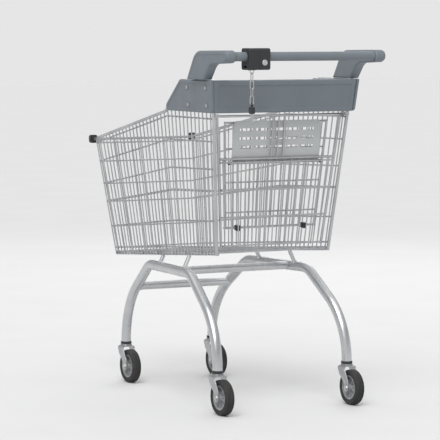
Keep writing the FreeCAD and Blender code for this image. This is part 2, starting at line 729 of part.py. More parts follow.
def lug_bottom_z():
    return HANDLE_Z - LOCK_DOWN - LUG_DROP - LINK_BEND_R


def link_centre(i):
    """Centre of a link; its top bend hangs over the wire above it."""
    first = lug_bottom_z() + LINK_R + 0.3 - (LINK_STRAIGHT / 2 + LINK_BEND_R - LINK_R)
    return at(CHAIN_X, CHAIN_AHEAD, first - i * LINK_PITCH)


def chain_lug():
    """Steel staple under the coin lock that the chain hangs from."""
    z = HANDLE_Z - LOCK_DOWN
    low = z - LUG_DROP
    bend = Part.Arc(at(CHAIN_X - LINK_BEND_R, CHAIN_AHEAD, low),
                    at(CHAIN_X, CHAIN_AHEAD, low - LINK_BEND_R),
                    at(CHAIN_X + LINK_BEND_R, CHAIN_AHEAD, low)).toShape()
    legs = [rod(at(CHAIN_X + s * LINK_BEND_R, CHAIN_AHEAD, low),
                at(CHAIN_X + s * LINK_BEND_R, CHAIN_AHEAD, z - 0.1), LINK_R) for s in (-1, 1)]
    foot = Part.makeBox(20, 8, 1.6, at(CHAIN_X - 10, CHAIN_AHEAD - 4, z - 1.6))
    return fused([swept(Part.Wire([bend]), LINK_R), legs[0], legs[1], foot])


def key_top():
    """Centre of the key's eye, hung from the last link."""
    return link_centre(LINKS - 1).z - LINK_STRAIGHT / 2 - LINK_BEND_R


def chain_key_grip():
    """Plastic head of the key, with an eye for the last link."""
    c = at(CHAIN_X, CHAIN_AHEAD, key_top())
    ring = Part.makeTorus(4.4, 1.6, c - Z_AXIS, X_AXIS)
    body = Part.makeBox(12, 20, 20, c + V(-6, -10, -26.4))
    body = rounded(body, 4, X_AXIS)
    return body.fuse(ring).cut(tongue_block(c))


def tongue_block(c):
    """The steel tongue's blank, part of it inside the plastic grip."""
    return Part.makeBox(TONGUE_T, TONGUE_W, TONGUE_LENGTH, c + V(-TONGUE_T / 2, -TONGUE_W / 2, -TONGUE_DROP))


def chain_key_tongue():
    c = at(CHAIN_X, CHAIN_AHEAD, key_top())
    notch = Part.makeBox(TONGUE_T, 5, 6, c + V(-TONGUE_T / 2, TONGUE_W / 2 - 4, -TONGUE_DROP + 9))
    return rounded(tongue_block(c), 2, X_AXIS).cut(notch)


# ---------------------------------------------------------------- casters

def caster_sockets():
    """Plugs in the arches' feet, each with a collar below the tube and a bore for a kingpin."""
    sockets = []
    for ahead in (0.0, WHEELBASE):
        foot = on_arch(ahead, 0)
        plug = Part.makeCylinder(PLUG_R, PLUG_LENGTH, V(foot.x, foot.y, ARCH_FOOT_Z), Z_AXIS)
        collar = Part.makeCylinder(TUBE_R + 2, ARCH_FOOT_Z - COLLAR_Z, V(foot.x, foot.y, COLLAR_Z), Z_AXIS)
        bore_depth = KINGPIN_TOP_Z + 2 - COLLAR_Z
        bore = Part.makeCylinder(KINGPIN_R + RUNNING_FIT, bore_depth, V(foot.x, foot.y, COLLAR_Z), Z_AXIS)
        sockets.append(collar.fuse(plug).cut(bore))
    return Part.makeCompound([mirrored(s) for s in sockets] + sockets)


def caster_fork(x, y):
    """Pressed steel fork with its swivel head and kingpin."""
    crown_top = CROWN_Z + CROWN_T
    crown = Part.makeCylinder(CROWN_R, CROWN_T, V(x, y, CROWN_Z), Z_AXIS)
    head = Part.makeCylinder(HEAD_R, HEAD_TOP_Z - crown_top, V(x, y, crown_top), Z_AXIS)
    head = head.makeFillet(1.5, [e for e in head.Edges if e.BoundBox.ZMin > HEAD_TOP_Z - 0.1])
    pin = Part.makeCylinder(KINGPIN_R, KINGPIN_TOP_Z - CROWN_Z, V(x, y, CROWN_Z), Z_AXIS)
    outer = FORK_GAP_HALF + FORK_PLATE
    bridge = Part.makeBox(2 * outer, 34, CROWN_T, V(x - outer, y - 17, CROWN_Z))
    pieces = [crown, head, pin, bridge]
    profile = [(-21, crown_top), (17, crown_top), (17, CROWN_Z - 6), (FORK_EYE_R - TRAIL, TYRE_R),
               (-FORK_EYE_R - TRAIL, TYRE_R), (-26, CROWN_Z - 14)]
    for side in (-1, 1):
        inner = x + side * FORK_GAP_HALF
        pieces.append(slab([V(inner, y + a, z) for a, z in profile], X_AXIS * (side * FORK_PLATE)))
        pieces.append(Part.makeCylinder(FORK_EYE_R, FORK_PLATE, V(inner, y - TRAIL, TYRE_R), X_AXIS * side))
    fork = fused(pieces)
    hole = Part.makeCylinder(AXLE_R + RUNNING_FIT, 4 * outer, V(x - 2 * outer, y - TRAIL, TYRE_R), X_AXIS)
    return fork.cut(hole).removeSplitter()


def hexagon(x, y, z, length):
    points = []
    for k in range(6):
        a = math.radians(60 * k + 30)
        points.append(V(x, y + BOLT_CORNER_R * math.cos(a), z + BOLT_CORNER_R * math.sin(a)))
    return slab(points, X_AXIS * length)


def caster_axle(x, y):
    """Axle bolt with its hexagon head on one side and its nut on the other."""
    outer = FORK_GAP_HALF + FORK_PLATE
    c = y - TRAIL
    shank = Part.makeCylinder(AXLE_R, 2 * outer + NUT_T + 1, V(x - outer, c, TYRE_R), X_AXIS)
    head = hexagon(x - outer - BOLT_HEAD_T, c, TYRE_R, BOLT_HEAD_T)
    nut = hexagon(x + outer, c, TYRE_R, NUT_T)
    return fused([shank, head, nut])


def caster_hub(x, y):
    """Wheel centre: rim, dished web with five windows, and a long boss."""
    c = V(x, y - TRAIL, TYRE_R)
    rim = Part.makeCylinder(HUB_R, HUB_W, c - X_AXIS * (HUB_W / 2), X_AXIS)
    dish_depth = (HUB_W - HUB_WEB_T) / 2
    for side in (-1, 1):
        start = c + X_AXIS * (side * HUB_W / 2)
        rim = rim.cut(Part.makeCylinder(HUB_R - HUB_RIM_T, dish_depth, start, X_AXIS * -side))
    boss = Part.makeCylinder(HUB_BOSS_R, BOSS_W, c - X_AXIS * (BOSS_W / 2), X_AXIS)
    windows = []
    for k in range(HUB_WINDOWS):
        a = 2 * math.pi * k / HUB_WINDOWS + math.pi / 2
        spot = V(c.x - HUB_W / 2, c.y + WINDOW_AT_R * math.cos(a), c.z + WINDOW_AT_R * math.sin(a))
        windows.append(Part.makeCylinder(WINDOW_R, HUB_W, spot, X_AXIS))
    bore = Part.makeCylinder(AXLE_R + RUNNING_FIT, BOSS_W, c - X_AXIS * (BOSS_W / 2), X_AXIS)
    return rim.cut(windows).fuse(boss).cut(bore)


def caster_tyre(x, y):
    c = V(x, y - TRAIL, TYRE_R)
    ring = Part.makeCylinder(TYRE_R, TYRE_W, c - X_AXIS * (TYRE_W / 2), X_AXIS)
    ring = ring.makeFillet(TYRE_SHOULDER_R, [e for e in ring.Edges if e.Length > 1.9 * math.pi * TYRE_R])
    return ring.cut(Part.makeCylinder(HUB_R, TYRE_W, c - X_AXIS * (TYRE_W / 2), X_AXIS))


# ---------------------------------------------------------------- assembly

def save(name, shape):
    shape.exportStep("parts/" + name + ".step")


def save_pair(name, shape):
    save(name + "_right", shape)
    save(name + "_left", mirrored(shape))


def save_chassis():
    arch = arch_solid(TUBE_R)
    save_pair("chassis_arch", chassis_arch())
    save("chassis_front_crossbar", front_crossbar(arch))
    save("chassis_rear_crossbar", crossbar(REAR_CROSSBAR_AHEAD, ARCH_TOP_Z, arch))
    save("basket_support_posts", support_posts(arch))
    save("caster_sockets", caster_sockets())


def save_basket():
    save_pair("basket_side", basket_side())
    save("basket_front", basket_front())
    save("basket_floor", basket_floor())
    save_pair("basket_rim", basket_rim())
    save("basket_rim_front", basket_rim_front())
    save("basket_rear_uprights", both_sides(rear_upright()))
    save("front_bumpers", front_bumpers())


def save_handle():
    save("rear_band", rear_band())
    save_pair("side_plate", side_plate())
    save("side_plate_screws", plate_screws())
    save_pair("handle_bracket", handle_bracket())
    save("handle_bar", handle_bar())
    save("handle_grip", handle_grip())
    save("handle_end_caps", handle_end_caps())


def save_gate():
    save("gate_hinge_eyes", gate_hinge_eyes())
    save("gate_hinge_rod", gate_hinge_rod())
    save("gate_posts", gate_posts())
    save("gate_mid_rail", gate_mid_rail())
    save("gate_lower_grille", gate_lower_grille())
    save("seat_hinge_clips", seat_hinge_clips())
    save("flap_hinge_clips", flap_hinge_clips())
    save("seat_back_grille", seat_back_grille())
    save("seat_flap_panel", seat_flap_panel())


def save_coin_lock():
    save("coin_lock_housing", coin_lock_housing())
    save("coin_tray", coin_tray())
    save("chain_lug", chain_lug())
    for i in range(LINKS):
        across = Y_AXIS if i % 2 == 0 else X_AXIS
        save("chain_link_%d" % (i + 1), link_shape(link_centre(i), across))
    save("chain_key_grip", chain_key_grip())
    save("chain_key_tongue", chain_key_tongue())


def save_casters():
    for end, ahead in (("rear", 0.0), ("front", WHEELBASE)):
        for hand, side in (("left", -1), ("right", 1)):
            foot = on_arch(ahead, 0)
            tag = "caster_%s_%s_" % (end, hand)
            x = side * foot.x
            save(tag + "fork", caster_fork(x, foot.y))
            save(tag + "axle", caster_axle(x, foot.y))
            save(tag + "hub", caster_hub(x, foot.y))
            save(tag + "tyre", caster_tyre(x, foot.y))


def main():
    os.makedirs("parts", exist_ok=True)
    save_chassis()
    save_basket()
    save_handle()
    save_gate()
    save_coin_lock()
    save_casters()


main()
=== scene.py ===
import json
import math

import bmesh
import bpy
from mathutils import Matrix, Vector


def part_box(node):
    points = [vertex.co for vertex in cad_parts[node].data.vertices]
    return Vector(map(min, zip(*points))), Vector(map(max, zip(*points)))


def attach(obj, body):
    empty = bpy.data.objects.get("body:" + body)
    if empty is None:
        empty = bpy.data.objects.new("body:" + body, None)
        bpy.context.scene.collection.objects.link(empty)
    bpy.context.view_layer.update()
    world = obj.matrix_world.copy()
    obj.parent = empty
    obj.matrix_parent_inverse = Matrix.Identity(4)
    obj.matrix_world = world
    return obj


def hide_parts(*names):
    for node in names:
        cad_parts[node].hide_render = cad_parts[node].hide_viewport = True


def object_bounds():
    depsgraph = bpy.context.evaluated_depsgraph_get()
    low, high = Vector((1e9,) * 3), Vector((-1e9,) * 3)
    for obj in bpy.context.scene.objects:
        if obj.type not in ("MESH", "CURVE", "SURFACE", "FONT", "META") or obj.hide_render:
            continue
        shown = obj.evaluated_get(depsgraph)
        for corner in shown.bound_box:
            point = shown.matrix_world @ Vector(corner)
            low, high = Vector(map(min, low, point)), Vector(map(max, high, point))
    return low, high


# Looks of a wire shopping cart: zinc-plated wire basket on a tubular arch chassis, blue-grey plastic
# panels and handle, and four swivel casters. Metres, +X right, +Y forward, +Z up.

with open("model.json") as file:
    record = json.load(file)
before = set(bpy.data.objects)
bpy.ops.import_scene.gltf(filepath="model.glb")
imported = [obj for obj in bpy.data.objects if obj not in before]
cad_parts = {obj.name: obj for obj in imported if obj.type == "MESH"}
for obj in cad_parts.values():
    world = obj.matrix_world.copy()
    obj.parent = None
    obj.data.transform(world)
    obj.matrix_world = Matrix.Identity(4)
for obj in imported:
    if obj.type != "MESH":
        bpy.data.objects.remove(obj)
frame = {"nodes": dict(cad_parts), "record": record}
cad_low, cad_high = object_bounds()
NODES = frame["nodes"]
SLOT_OF = {s["node"]: s["material_slot"] for s in frame["record"]["subparts"]}
X, Y, Z = Vector((1, 0, 0)), Vector((0, 1, 0)), Vector((0, 0, 1))
HANDS = {"left": -1, "right": 1}


# ---------------------------------------------------------------- materials

def new_material(name):
    mat = bpy.data.materials.new(name)
    mat.use_nodes = True
    tree = mat.node_tree
    return mat, tree, tree.nodes["Principled BSDF"]


def coordinates(tree, kind="Object"):
    return tree.nodes.new("ShaderNodeTexCoord").outputs[kind]


def noise(tree, coords, scale, detail, rough=0.5, stretch=None):
    """A noise texture, its coordinates scaled along the axes if asked."""
    node = tree.nodes.new("ShaderNodeTexNoise")
    node.inputs["Scale"].default_value = scale
    node.inputs["Detail"].default_value = detail
    node.inputs["Roughness"].default_value = rough
    if stretch:
        mapping = tree.nodes.new("ShaderNodeMapping")
        mapping.inputs["Scale"].default_value = stretch
        tree.links.new(coords, mapping.inputs["Vector"])
        coords = mapping.outputs["Vector"]
    tree.links.new(coords, node.inputs["Vector"])
    return node.outputs["Fac"]


def ramp(tree, fac, stops):
    """A colour ramp; stops are (position, colour), a colour being a grey level or r, g, b."""
    node = tree.nodes.new("ShaderNodeValToRGB")
    tree.links.new(fac, node.inputs["Fac"])
    elements = node.color_ramp.elements
    while len(elements) < len(stops):
        elements.new(0.5)
    for element, (position, colour) in zip(elements, stops):
        element.position = position
        element.color = (colour, colour, colour, 1) if isinstance(colour, float) else (*colour, 1)
    return node.outputs["Color"]


def mixed(tree, fac, a, b, mode="MIX"):
    """Two colours mixed; the factor and the colours are sockets or plain values."""
    node = tree.nodes.new("ShaderNodeMix")
    node.data_type = "RGBA"
    node.blend_type = mode
    for socket, value in ((node.inputs[0], fac), (node.inputs[6], a), (node.inputs[7], b)):
        if isinstance(value, float):
            socket.default_value = value
        elif isinstance(value, tuple):
            socket.default_value = (*value, 1)
        else:
            tree.links.new(value, socket)
    return node.outputs[2]


def bump(tree, shader, height, strength, distance):
    node = tree.nodes.new("ShaderNodeBump")
    node.inputs["Strength"].default_value = strength
    node.inputs["Distance"].default_value = distance
    tree.links.new(height, node.inputs["Height"])
    tree.links.new(node.outputs["Normal"], shader.inputs["Normal"])


def metal(name, light, dark, rough, grain, dirt=0.25, relief=0.05):
    """Zinc-plated steel: faint clouds in the plating, drawn grain, dull patches and specks of grime."""
    mat, tree, shader = new_material(name)
    coords = coordinates(tree)
    clouds = noise(tree, coords, scale=9.0, detail=6.0, rough=0.6)
    tone = ramp(tree, clouds, [(0.30, dark), (0.65, light)])
    grime = noise(tree, coords, scale=210.0, detail=3.0, rough=0.7)
    specks = ramp(tree, grime, [(0.30, 0.62), (0.50, 1.0)])
    tree.links.new(mixed(tree, dirt, tone, specks, "MULTIPLY"), shader.inputs["Base Color"])
    patches = noise(tree, coords, scale=30.0, detail=5.0, rough=0.6)
    dulled = ramp(tree, patches, [(0.30, rough[0]), (0.72, rough[1])])
    tree.links.new(dulled, shader.inputs["Roughness"])
    drawn = noise(tree, coords, scale=grain, detail=4.0, rough=0.6)
    bump(tree, shader, drawn, strength=relief, distance=0.0001)
    shader.inputs["Metallic"].default_value = 1.0
    return mat


FADING = 0.88
SCUFF = 0.30


def moulded(name, colour, worn, grain=1500.0):
    """Moulded plastic: fine spark-eroded grain, slight fading, dull patches and fine scuffs."""
    mat, tree, shader = new_material(name)
    coords = coordinates(tree)
    faded = tuple(c * FADING for c in colour)
    sunned = noise(tree, coords, scale=5.0, detail=4.0, rough=0.6)
    base = ramp(tree, sunned, [(0.32, faded), (0.70, colour)])
    scratches = noise(tree, coords, scale=70.0, detail=7.0, rough=0.78, stretch=(1.0, 0.35, 3.0))
    marks = ramp(tree, scratches, [(0.60, 0.0), (0.72, SCUFF)])
    tree.links.new(mixed(tree, marks, base, worn), shader.inputs["Base Color"])
    patches = noise(tree, coords, scale=22.0, detail=5.0, rough=0.7)
    dulled = ramp(tree, patches, [(0.30, 0.40), (0.70, 0.58)])
    tree.links.new(dulled, shader.inputs["Roughness"])
    eroded = noise(tree, coords, scale=grain, detail=2.0)
    bump(tree, shader, eroded, strength=0.16, distance=0.0003)
    return mat


def rubber(name):
    """Black tyre rubber with dust worked into it."""
    mat, tree, shader = new_material(name)
    coords = coordinates(tree)
    dust = noise(tree, coords, scale=34.0, detail=6.0, rough=0.72)
    fine = noise(tree, coords, scale=420.0, detail=3.0, rough=0.6)
    base = ramp(tree, dust, [(0.38, (0.012, 0.012, 0.013)), (0.72, (0.055, 0.052, 0.048))])
    pores = ramp(tree, fine, [(0.30, 0.3), (0.70, 1.0)])
    tree.links.new(mixed(tree, 0.3, base, pores, "MULTIPLY"), shader.inputs["Base Color"])
    tree.links.new(ramp(tree, dust, [(0.30, 0.58), (0.70, 0.86)]), shader.inputs["Roughness"])
    bump(tree, shader, fine, strength=0.25, distance=0.0004)
    return mat


MATERIALS = {
    "zinc_tube": metal("zinc_tube", (0.60, 0.61, 0.62), (0.52, 0.53, 0.55), rough=(0.24, 0.36),
                       grain=90.0, dirt=0.12, relief=0.02),
    "zinc_wire": metal("zinc_wire", (0.55, 0.56, 0.57), (0.42, 0.43, 0.45), rough=(0.24, 0.42),
                       grain=320.0),
    "plain_steel": metal("plain_steel", (0.58, 0.58, 0.58), (0.44, 0.44, 0.45), rough=(0.26, 0.44),
                         grain=260.0),
    "fork_steel": metal("fork_steel", (0.52, 0.53, 0.54), (0.38, 0.39, 0.40), rough=(0.28, 0.46),
                        grain=200.0, dirt=0.4),
    "bolt_steel": metal("bolt_steel", (0.62, 0.62, 0.61), (0.46, 0.46, 0.46), rough=(0.24, 0.42),
                        grain=300.0),
    "panel_plastic": moulded("panel_plastic", (0.166, 0.193, 0.218), (0.31, 0.34, 0.36)),
    "seat_plastic": moulded("seat_plastic", (0.50, 0.52, 0.53), (0.36, 0.37, 0.38)),
    "dark_plastic": moulded("dark_plastic", (0.022, 0.024, 0.027), (0.10, 0.10, 0.10)),
    "tray_plastic": moulded("tray_plastic", (0.40, 0.41, 0.40), (0.58, 0.58, 0.58)),
    "hub_plastic": moulded("hub_plastic", (0.33, 0.34, 0.35), (0.15, 0.15, 0.15), grain=900.0),
    "tyre": rubber("tyre"),
}

for node, obj in NODES.items():
    obj.data.materials.clear()
    obj.data.materials.append(MATERIALS[SLOT_OF[node]])


# ---------------------------------------------------------------- mesh building

LEAST_R = 0.0003  # no arc of an inset corner is smaller
SMOOTH_ANGLE = 35.0


def finish_mesh(name, bm, body, slot, replaced=(), sharp=SMOOTH_ANGLE):
    """Makes the piece from its mesh, and says what it rides on and stands for."""
    bmesh.ops.recalc_face_normals(bm, faces=bm.faces)
    mesh = bpy.data.meshes.new(name)
    bm.to_mesh(mesh)
    bm.free()
    mesh.polygons.foreach_set("use_smooth", [True] * len(mesh.polygons))
    mesh.set_sharp_from_angle(angle=math.radians(sharp))
    mesh.materials.append(MATERIALS[slot])
    piece = bpy.data.objects.new(name, mesh)
    bpy.context.scene.collection.objects.link(piece)
    weighted = piece.modifiers.new("even_normals", "WEIGHTED_NORMAL")
    weighted.keep_sharp = True
    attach(piece, body)
    if replaced:
        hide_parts(*replaced)
    return piece


def skin(bm, rings, closed=False, capped=True):
    """Quads between rings of vertices; the ends are capped unless they are open or join up."""
    following = rings[1:] + rings[:1] if closed else rings[1:]
    for a, b in zip(rings, following):
        for i in range(len(a)):
            j = (i + 1) % len(a)
            bm.faces.new((a[i], a[j], b[j], b[i]))
    if capped and not closed:
        bm.faces.new(rings[0][::-1])
        bm.faces.new(rings[-1])


def across(axis):
    """Two unit vectors square to an axis and to each other."""
    u = axis.cross(Z if abs(axis.z) < 0.9 else X).normalized()
    return u, axis.cross(u).normalized()


def ring_of(bm, centre, u, v, radius, steps):
    turns = [2 * math.pi * k / steps for k in range(steps)]
    return [bm.verts.new(centre + (u * math.cos(a) + v * math.sin(a)) * radius) for a in turns]


def lathe(bm, origin, axis, profile, steps=48, hollow=False):
    """Turns a profile of (along, radius) points about an axis; a hollow one closes on itself."""
    u, v = across(axis)
    rings = [ring_of(bm, origin + axis * along, u, v, radius, steps) for along, radius in profile]
    skin(bm, rings, closed=hollow)


def loop_bar(bm, points, radii, sides):
    """A round bar along a closed path that goes once about its own middle."""
    centre = sum(points, Vector()) / len(points)
    rings = []
    for i, point in enumerate(points):
        tangent = (points[(i + 1) % len(points)] - points[i - 1]).normalized()
        arm = point - centre
        u = (arm - tangent * arm.dot(tangent)).normalized()
        rings.append(ring_of(bm, point, u, tangent.cross(u), radii[i], sides))
    skin(bm, rings, closed=True)


def rounded(corners, radii, inset=0.0, steps=6):
    """An anticlockwise outline moved inwards by inset, with its corners turned into arcs."""
    points = [Vector(c) for c in corners]
    count = len(points)
    along = [(points[(i + 1) % count] - points[i]).normalized() for i in range(count)]
    outline = []
    for i, point in enumerate(points):
        before, after = along[i - 1], along[i]
        turn = math.atan2(before.x * after.y - before.y * after.x, before.dot(after))
        inward = Vector((-before.y - after.y, before.x + after.x)) / (1 + before.dot(after))
        radius = max(radii[i] - inset, LEAST_R) if turn > 0 else radii[i] + inset
        start = point + inward * inset - before * (radius * math.tan(abs(turn) / 2))
        left = Vector((-before.y, before.x)) * math.copysign(radius, turn)
        centre = start + left
        for k in range(steps + 1):
            a = turn * k / steps
            u, v = math.cos(a), math.sin(a)
            outline.append(centre + Vector((-left.x * u + left.y * v, -left.x * v - left.y * u)))
    return outline


def slab(bm, corners, radii, rings, place, steps=6):
    """A flat piece: its outline at each (inset, height) ring, joined up and closed at both ends."""
    loops = []
    for inset, height in rings:
        outline = rounded(corners, radii, inset, steps)
        loops.append([bm.verts.new(place(p.x, p.y, height)) for p in outline])
    skin(bm, loops)


def soft_rings(low, high, low_r, high_r, steps=4):
    """The (inset, height) rings of a slab whose two edges are rounded."""
    quarter = [math.pi / 2 * k / steps for k in range(steps + 1)]
    rings = [(low_r * (1 - math.sin(a)), low + low_r * (1 - math.cos(a))) for a in quarter]
    return rings + [(high_r * (1 - math.cos(a)), high - high_r * (1 - math.sin(a))) for a in quarter]


def with_recess(rings, border, depth):
    """The same rings with a shallow field sunk into the far face, its upper edge broken."""
    top = rings[-1][1]
    broken = (border + depth * 0.4, top - depth * 0.3)
    return rings + [(border, top), broken, (border + depth, top - depth)]


def square(half):
    return [(-half, -half), (half, -half), (half, half), (-half, half)]


def oblong(half_wide, low, high):
    return [(-half_wide, low), (half_wide, low), (half_wide, high), (-half_wide, high)]


def mirrored(profile):
    """A lathe profile's other half: the same radii, back along the axis."""
    return [(-along, radius) for along, radius in profile[::-1]]


def middle(node):
    """The middle of a CAD node's box."""
    low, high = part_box(node)
    return (low + high) / 2


# ---------------------------------------------------------------- the basket's planes

REAR_Y = -0.390  # the rear casters' swivel axes
# Corners of the right side in (across, ahead, up), ahead being measured from REAR_Y.
REAR_TOP = Vector((0.235, 0.0, 0.972))
REAR_FOOT = Vector((0.190, 0.060, 0.470))
FRONT_FOOT = Vector((0.150, 0.820, 0.410))
# The rods along the floor's edges, below the side's foot and inside its wires.
EDGE_DROP = 0.010
EDGE_INSIDE = 0.00505
EDGE_R = 0.003
# The gate's hinge, and how far the gate stands ahead of the rear plane.
HINGE_Z = 0.866
GATE_OFF = 0.012


def side_plane():
    """Normal of the right side's plane, in (across, ahead, up)."""
    normal = (REAR_TOP - REAR_FOOT).cross(REAR_FOOT - FRONT_FOOT).normalized()
    return normal if normal.x > 0 else -normal


def side_point(ahead, z, hand):
    """A point of a side's plane."""
    n = side_plane()
    x = REAR_FOOT.x - (n.y * (ahead - REAR_FOOT.y) + n.z * (z - REAR_FOOT.z)) / n.x
    return Vector((x * hand, REAR_Y + ahead, z))


def side_normal(hand):
    n = side_plane()
    return Vector((n.x * hand, n.y, n.z))


def edge_point(ahead, hand):
    """A point of the rod along an edge of the basket's floor, just inside the side's wires."""
    fall = (ahead - REAR_FOOT.y) / (FRONT_FOOT.y - REAR_FOOT.y)
    z = REAR_FOOT.z + (FRONT_FOOT.z - REAR_FOOT.z) * fall - EDGE_DROP
    return side_point(ahead, z, hand) - X * (hand * EDGE_INSIDE / side_plane().x)


def on_gate(x, down, out):
    """A point of the gate: down from its hinge, and out from its plane towards the basket."""
    fall = Vector((0, REAR_FOOT.y - REAR_TOP.y, REAR_FOOT.z - REAR_TOP.z)).normalized()
    hinge_ahead = GATE_OFF + REAR_FOOT.y * (REAR_TOP.z - HINGE_Z) / (REAR_TOP.z - REAR_FOOT.z)
    hinge = Vector((x, REAR_Y + hinge_ahead, HINGE_Z))
    return hinge + fall * down + X.cross(fall) * out


# ---------------------------------------------------------------- plastic panels

PLATE_OFF = 0.0065
PLATE_T = 0.009
PLATE_LOW_Z = 0.877
# A side plate's outline in (ahead, up), on the side's plane.
PLATE_OUTLINE = [(-0.006, PLATE_LOW_Z), (0.334, PLATE_LOW_Z), (0.197, REAR_TOP.z),
                 (-0.018, REAR_TOP.z)]
PLATE_RADII = (0.010, 0.012, 0.022, 0.003)
PLATE_BACK_R = 0.0008
PLATE_FACE_R = 0.0035
PLATE_BORDER = 0.009
PLATE_SINK = 0.0014
SCREW_AHEADS = (0.025, 0.150)
SCREW_INSET = 0.022
SCREW_PROFILE = [(0, 0.0054), (0.0007, 0.0054), (0.0016, 0.0046), (0.0020, 0.0036),
                 (0.0021, 0.0024), (0.0006, 0.0022), (0.0006, 0.0003)]
BOSS_PROFILE = [(-0.001, 0.0085), (0.0008, 0.0085), (0.0014, 0.0078), (0.0014, 0.0004)]


def make_side_plate(hand_name, hand):
    """Moulded panel over the basket's upper corner, with a shallow field in its face."""
    n = side_normal(hand)

    def place(ahead, z, out):
        return side_point(ahead, z, hand) + n * (PLATE_OFF + out)

    bm = bmesh.new()
    rings = with_recess(soft_rings(0, PLATE_T, PLATE_BACK_R, PLATE_FACE_R), PLATE_BORDER, PLATE_SINK)
    slab(bm, PLATE_OUTLINE, PLATE_RADII, rings, place)
    finish_mesh("side_plate_%s_shell" % hand_name, bm, "frame", "panel_plastic",
                ["side_plate_" + hand_name])


def make_screws():
    """Domed socket screws through the side plates, each in a raised round boss."""
    heads, bosses = bmesh.new(), bmesh.new()
    for hand in HANDS.values():
        n = side_normal(hand)
        for ahead in SCREW_AHEADS:
            for z in (PLATE_LOW_Z + SCREW_INSET, REAR_TOP.z - SCREW_INSET):
                base = side_point(ahead, z, hand) + n * (PLATE_OFF + PLATE_T - PLATE_SINK)
                lathe(bosses, base, n, BOSS_PROFILE, 32)
                lathe(heads, base + n * BOSS_PROFILE[-1][0], n, SCREW_PROFILE, 24)
    finish_mesh("side_plate_screw_heads", heads, "frame", "plain_steel", ["side_plate_screws"])
    finish_mesh("side_plate_screw_bosses", bosses, "frame", "panel_plastic")


BAND_T = 0.012
BAND_GAP = 0.0052
BAND_SHY = 0.0004  # its ends stop short of the side plates' outer faces
BAND_CORNER_R = 0.004
BAND_BACK_R = 0.001
BAND_FACE_R = 0.0042
BAND_BORDER = 0.014
BAND_SINK = 0.0016


def make_rear_band():
    """Moulded panel across the back of the basket, with a blank sunken field."""
    lean = Vector((0, REAR_FOOT.y, REAR_FOOT.z)) - Vector((0, REAR_TOP.y, REAR_TOP.z))
    lean.normalize()
    out = Vector((0, lean.z, -lean.y))
    start = Vector((0, REAR_Y, REAR_TOP.z)) + out * BAND_GAP
    length = (PLATE_LOW_Z - REAR_TOP.z) / lean.z
    top = side_point(0, REAR_TOP.z, 1).x + PLATE_OFF - BAND_SHY
    low = side_point(0, PLATE_LOW_Z, 1).x + PLATE_OFF - BAND_SHY
    corners = [(-top, 0), (top, 0), (low, length), (-low, length)]
    bm = bmesh.new()
    rings = with_recess(soft_rings(0, BAND_T, BAND_BACK_R, BAND_FACE_R), BAND_BORDER, BAND_SINK)
    slab(bm, corners, [BAND_CORNER_R] * 4, rings, lambda x, d, h: start + X * x + lean * d + out * h)
    finish_mesh("rear_band_panel", bm, "frame", "panel_plastic", ["rear_band"])


# ---------------------------------------------------------------- handle

# A handle arm's outline in (ahead, up).
ARM_OUTLINE = [(0.008, 0.9722), (0.112, 0.9722), (0.058, 1.056), (-0.138, 1.058),
               (-0.138, 1.022), (-0.030, 1.018)]
ARM_RADII = (0.002, 0.002, 0.050, 0.0178, 0.0178, 0.045)
ARM_EDGE_R = 0.0065
ARM_BORDER = 0.0105
ARM_SINK = 0.0012
GRIP_WALL = 0.0028
GRIP_COLLAR = 0.012
GRIP_RINGS = 60
RING_HALF = 0.0012
RING_TOP = 0.0003
RING_FOOT = 0.0007
CAP_R = 0.015
CAP_T = 0.003
CAP_PROFILE = [(-0.0015, CAP_R), (0.0010, CAP_R), (0.0022, CAP_R - 0.0009), (CAP_T, CAP_R - 0.003),
               (CAP_T, 0.006), (CAP_T - 0.0008, 0.005), (CAP_T - 0.0008, 0.0004)]


def make_bracket(hand_name, hand):
    """Arm that rises from the side plate and sweeps back to the handle."""
    node = "handle_bracket_" + hand_name
    low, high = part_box(node)
    inner = min(abs(low.x), abs(high.x))
    thick = high.x - low.x

    def place(ahead, z, out):
        return Vector((hand * (inner + out), REAR_Y + ahead, z))

    bm = bmesh.new()
    rings = with_recess(soft_rings(0, thick, ARM_EDGE_R, ARM_EDGE_R, 5), ARM_BORDER, ARM_SINK)
    slab(bm, ARM_OUTLINE, ARM_RADII, rings, place, 10)
    finish_mesh(node + "_arm", bm, "frame", "panel_plastic", [node])


def make_grip():
    """Handle sleeve with collars at its ends and fine rings along it."""
    low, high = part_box("handle_grip")
    r = (high.z - low.z) / 2
    half = (high.x - low.x) / 2
    collar = [(0, r - GRIP_WALL), (0, r - 0.001), (0.001, r), (0.009, r), (0.010, r - 0.0006)]
    profile = [(-half + x, radius) for x, radius in collar]
    for k in range(GRIP_RINGS + 1):
        x = (half - GRIP_COLLAR) * (2 * k / GRIP_RINGS - 1)
        profile += [(x - RING_HALF, r - RING_TOP), (x, r - RING_FOOT), (x + RING_HALF, r - RING_TOP)]
    profile += [(half - x, radius) for x, radius in collar[::-1]]
    bm = bmesh.new()
    lathe(bm, middle("handle_grip"), X, profile, 40, hollow=True)
    finish_mesh("handle_grip_sleeve", bm, "frame", "panel_plastic", ["handle_grip"])


def make_end_caps():
    """Plugs at the handle's ends, each with a dimple."""
    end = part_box("handle_end_caps")[1].x
    centre = middle("handle_bar")
    bm = bmesh.new()
    for hand in HANDS.values():
        lathe(bm, Vector((hand * (end - CAP_T), centre.y, centre.z)), X * hand, CAP_PROFILE, 40)
    finish_mesh("handle_caps", bm, "frame", "panel_plastic", ["handle_end_caps"])


# ---------------------------------------------------------------- child seat's flap

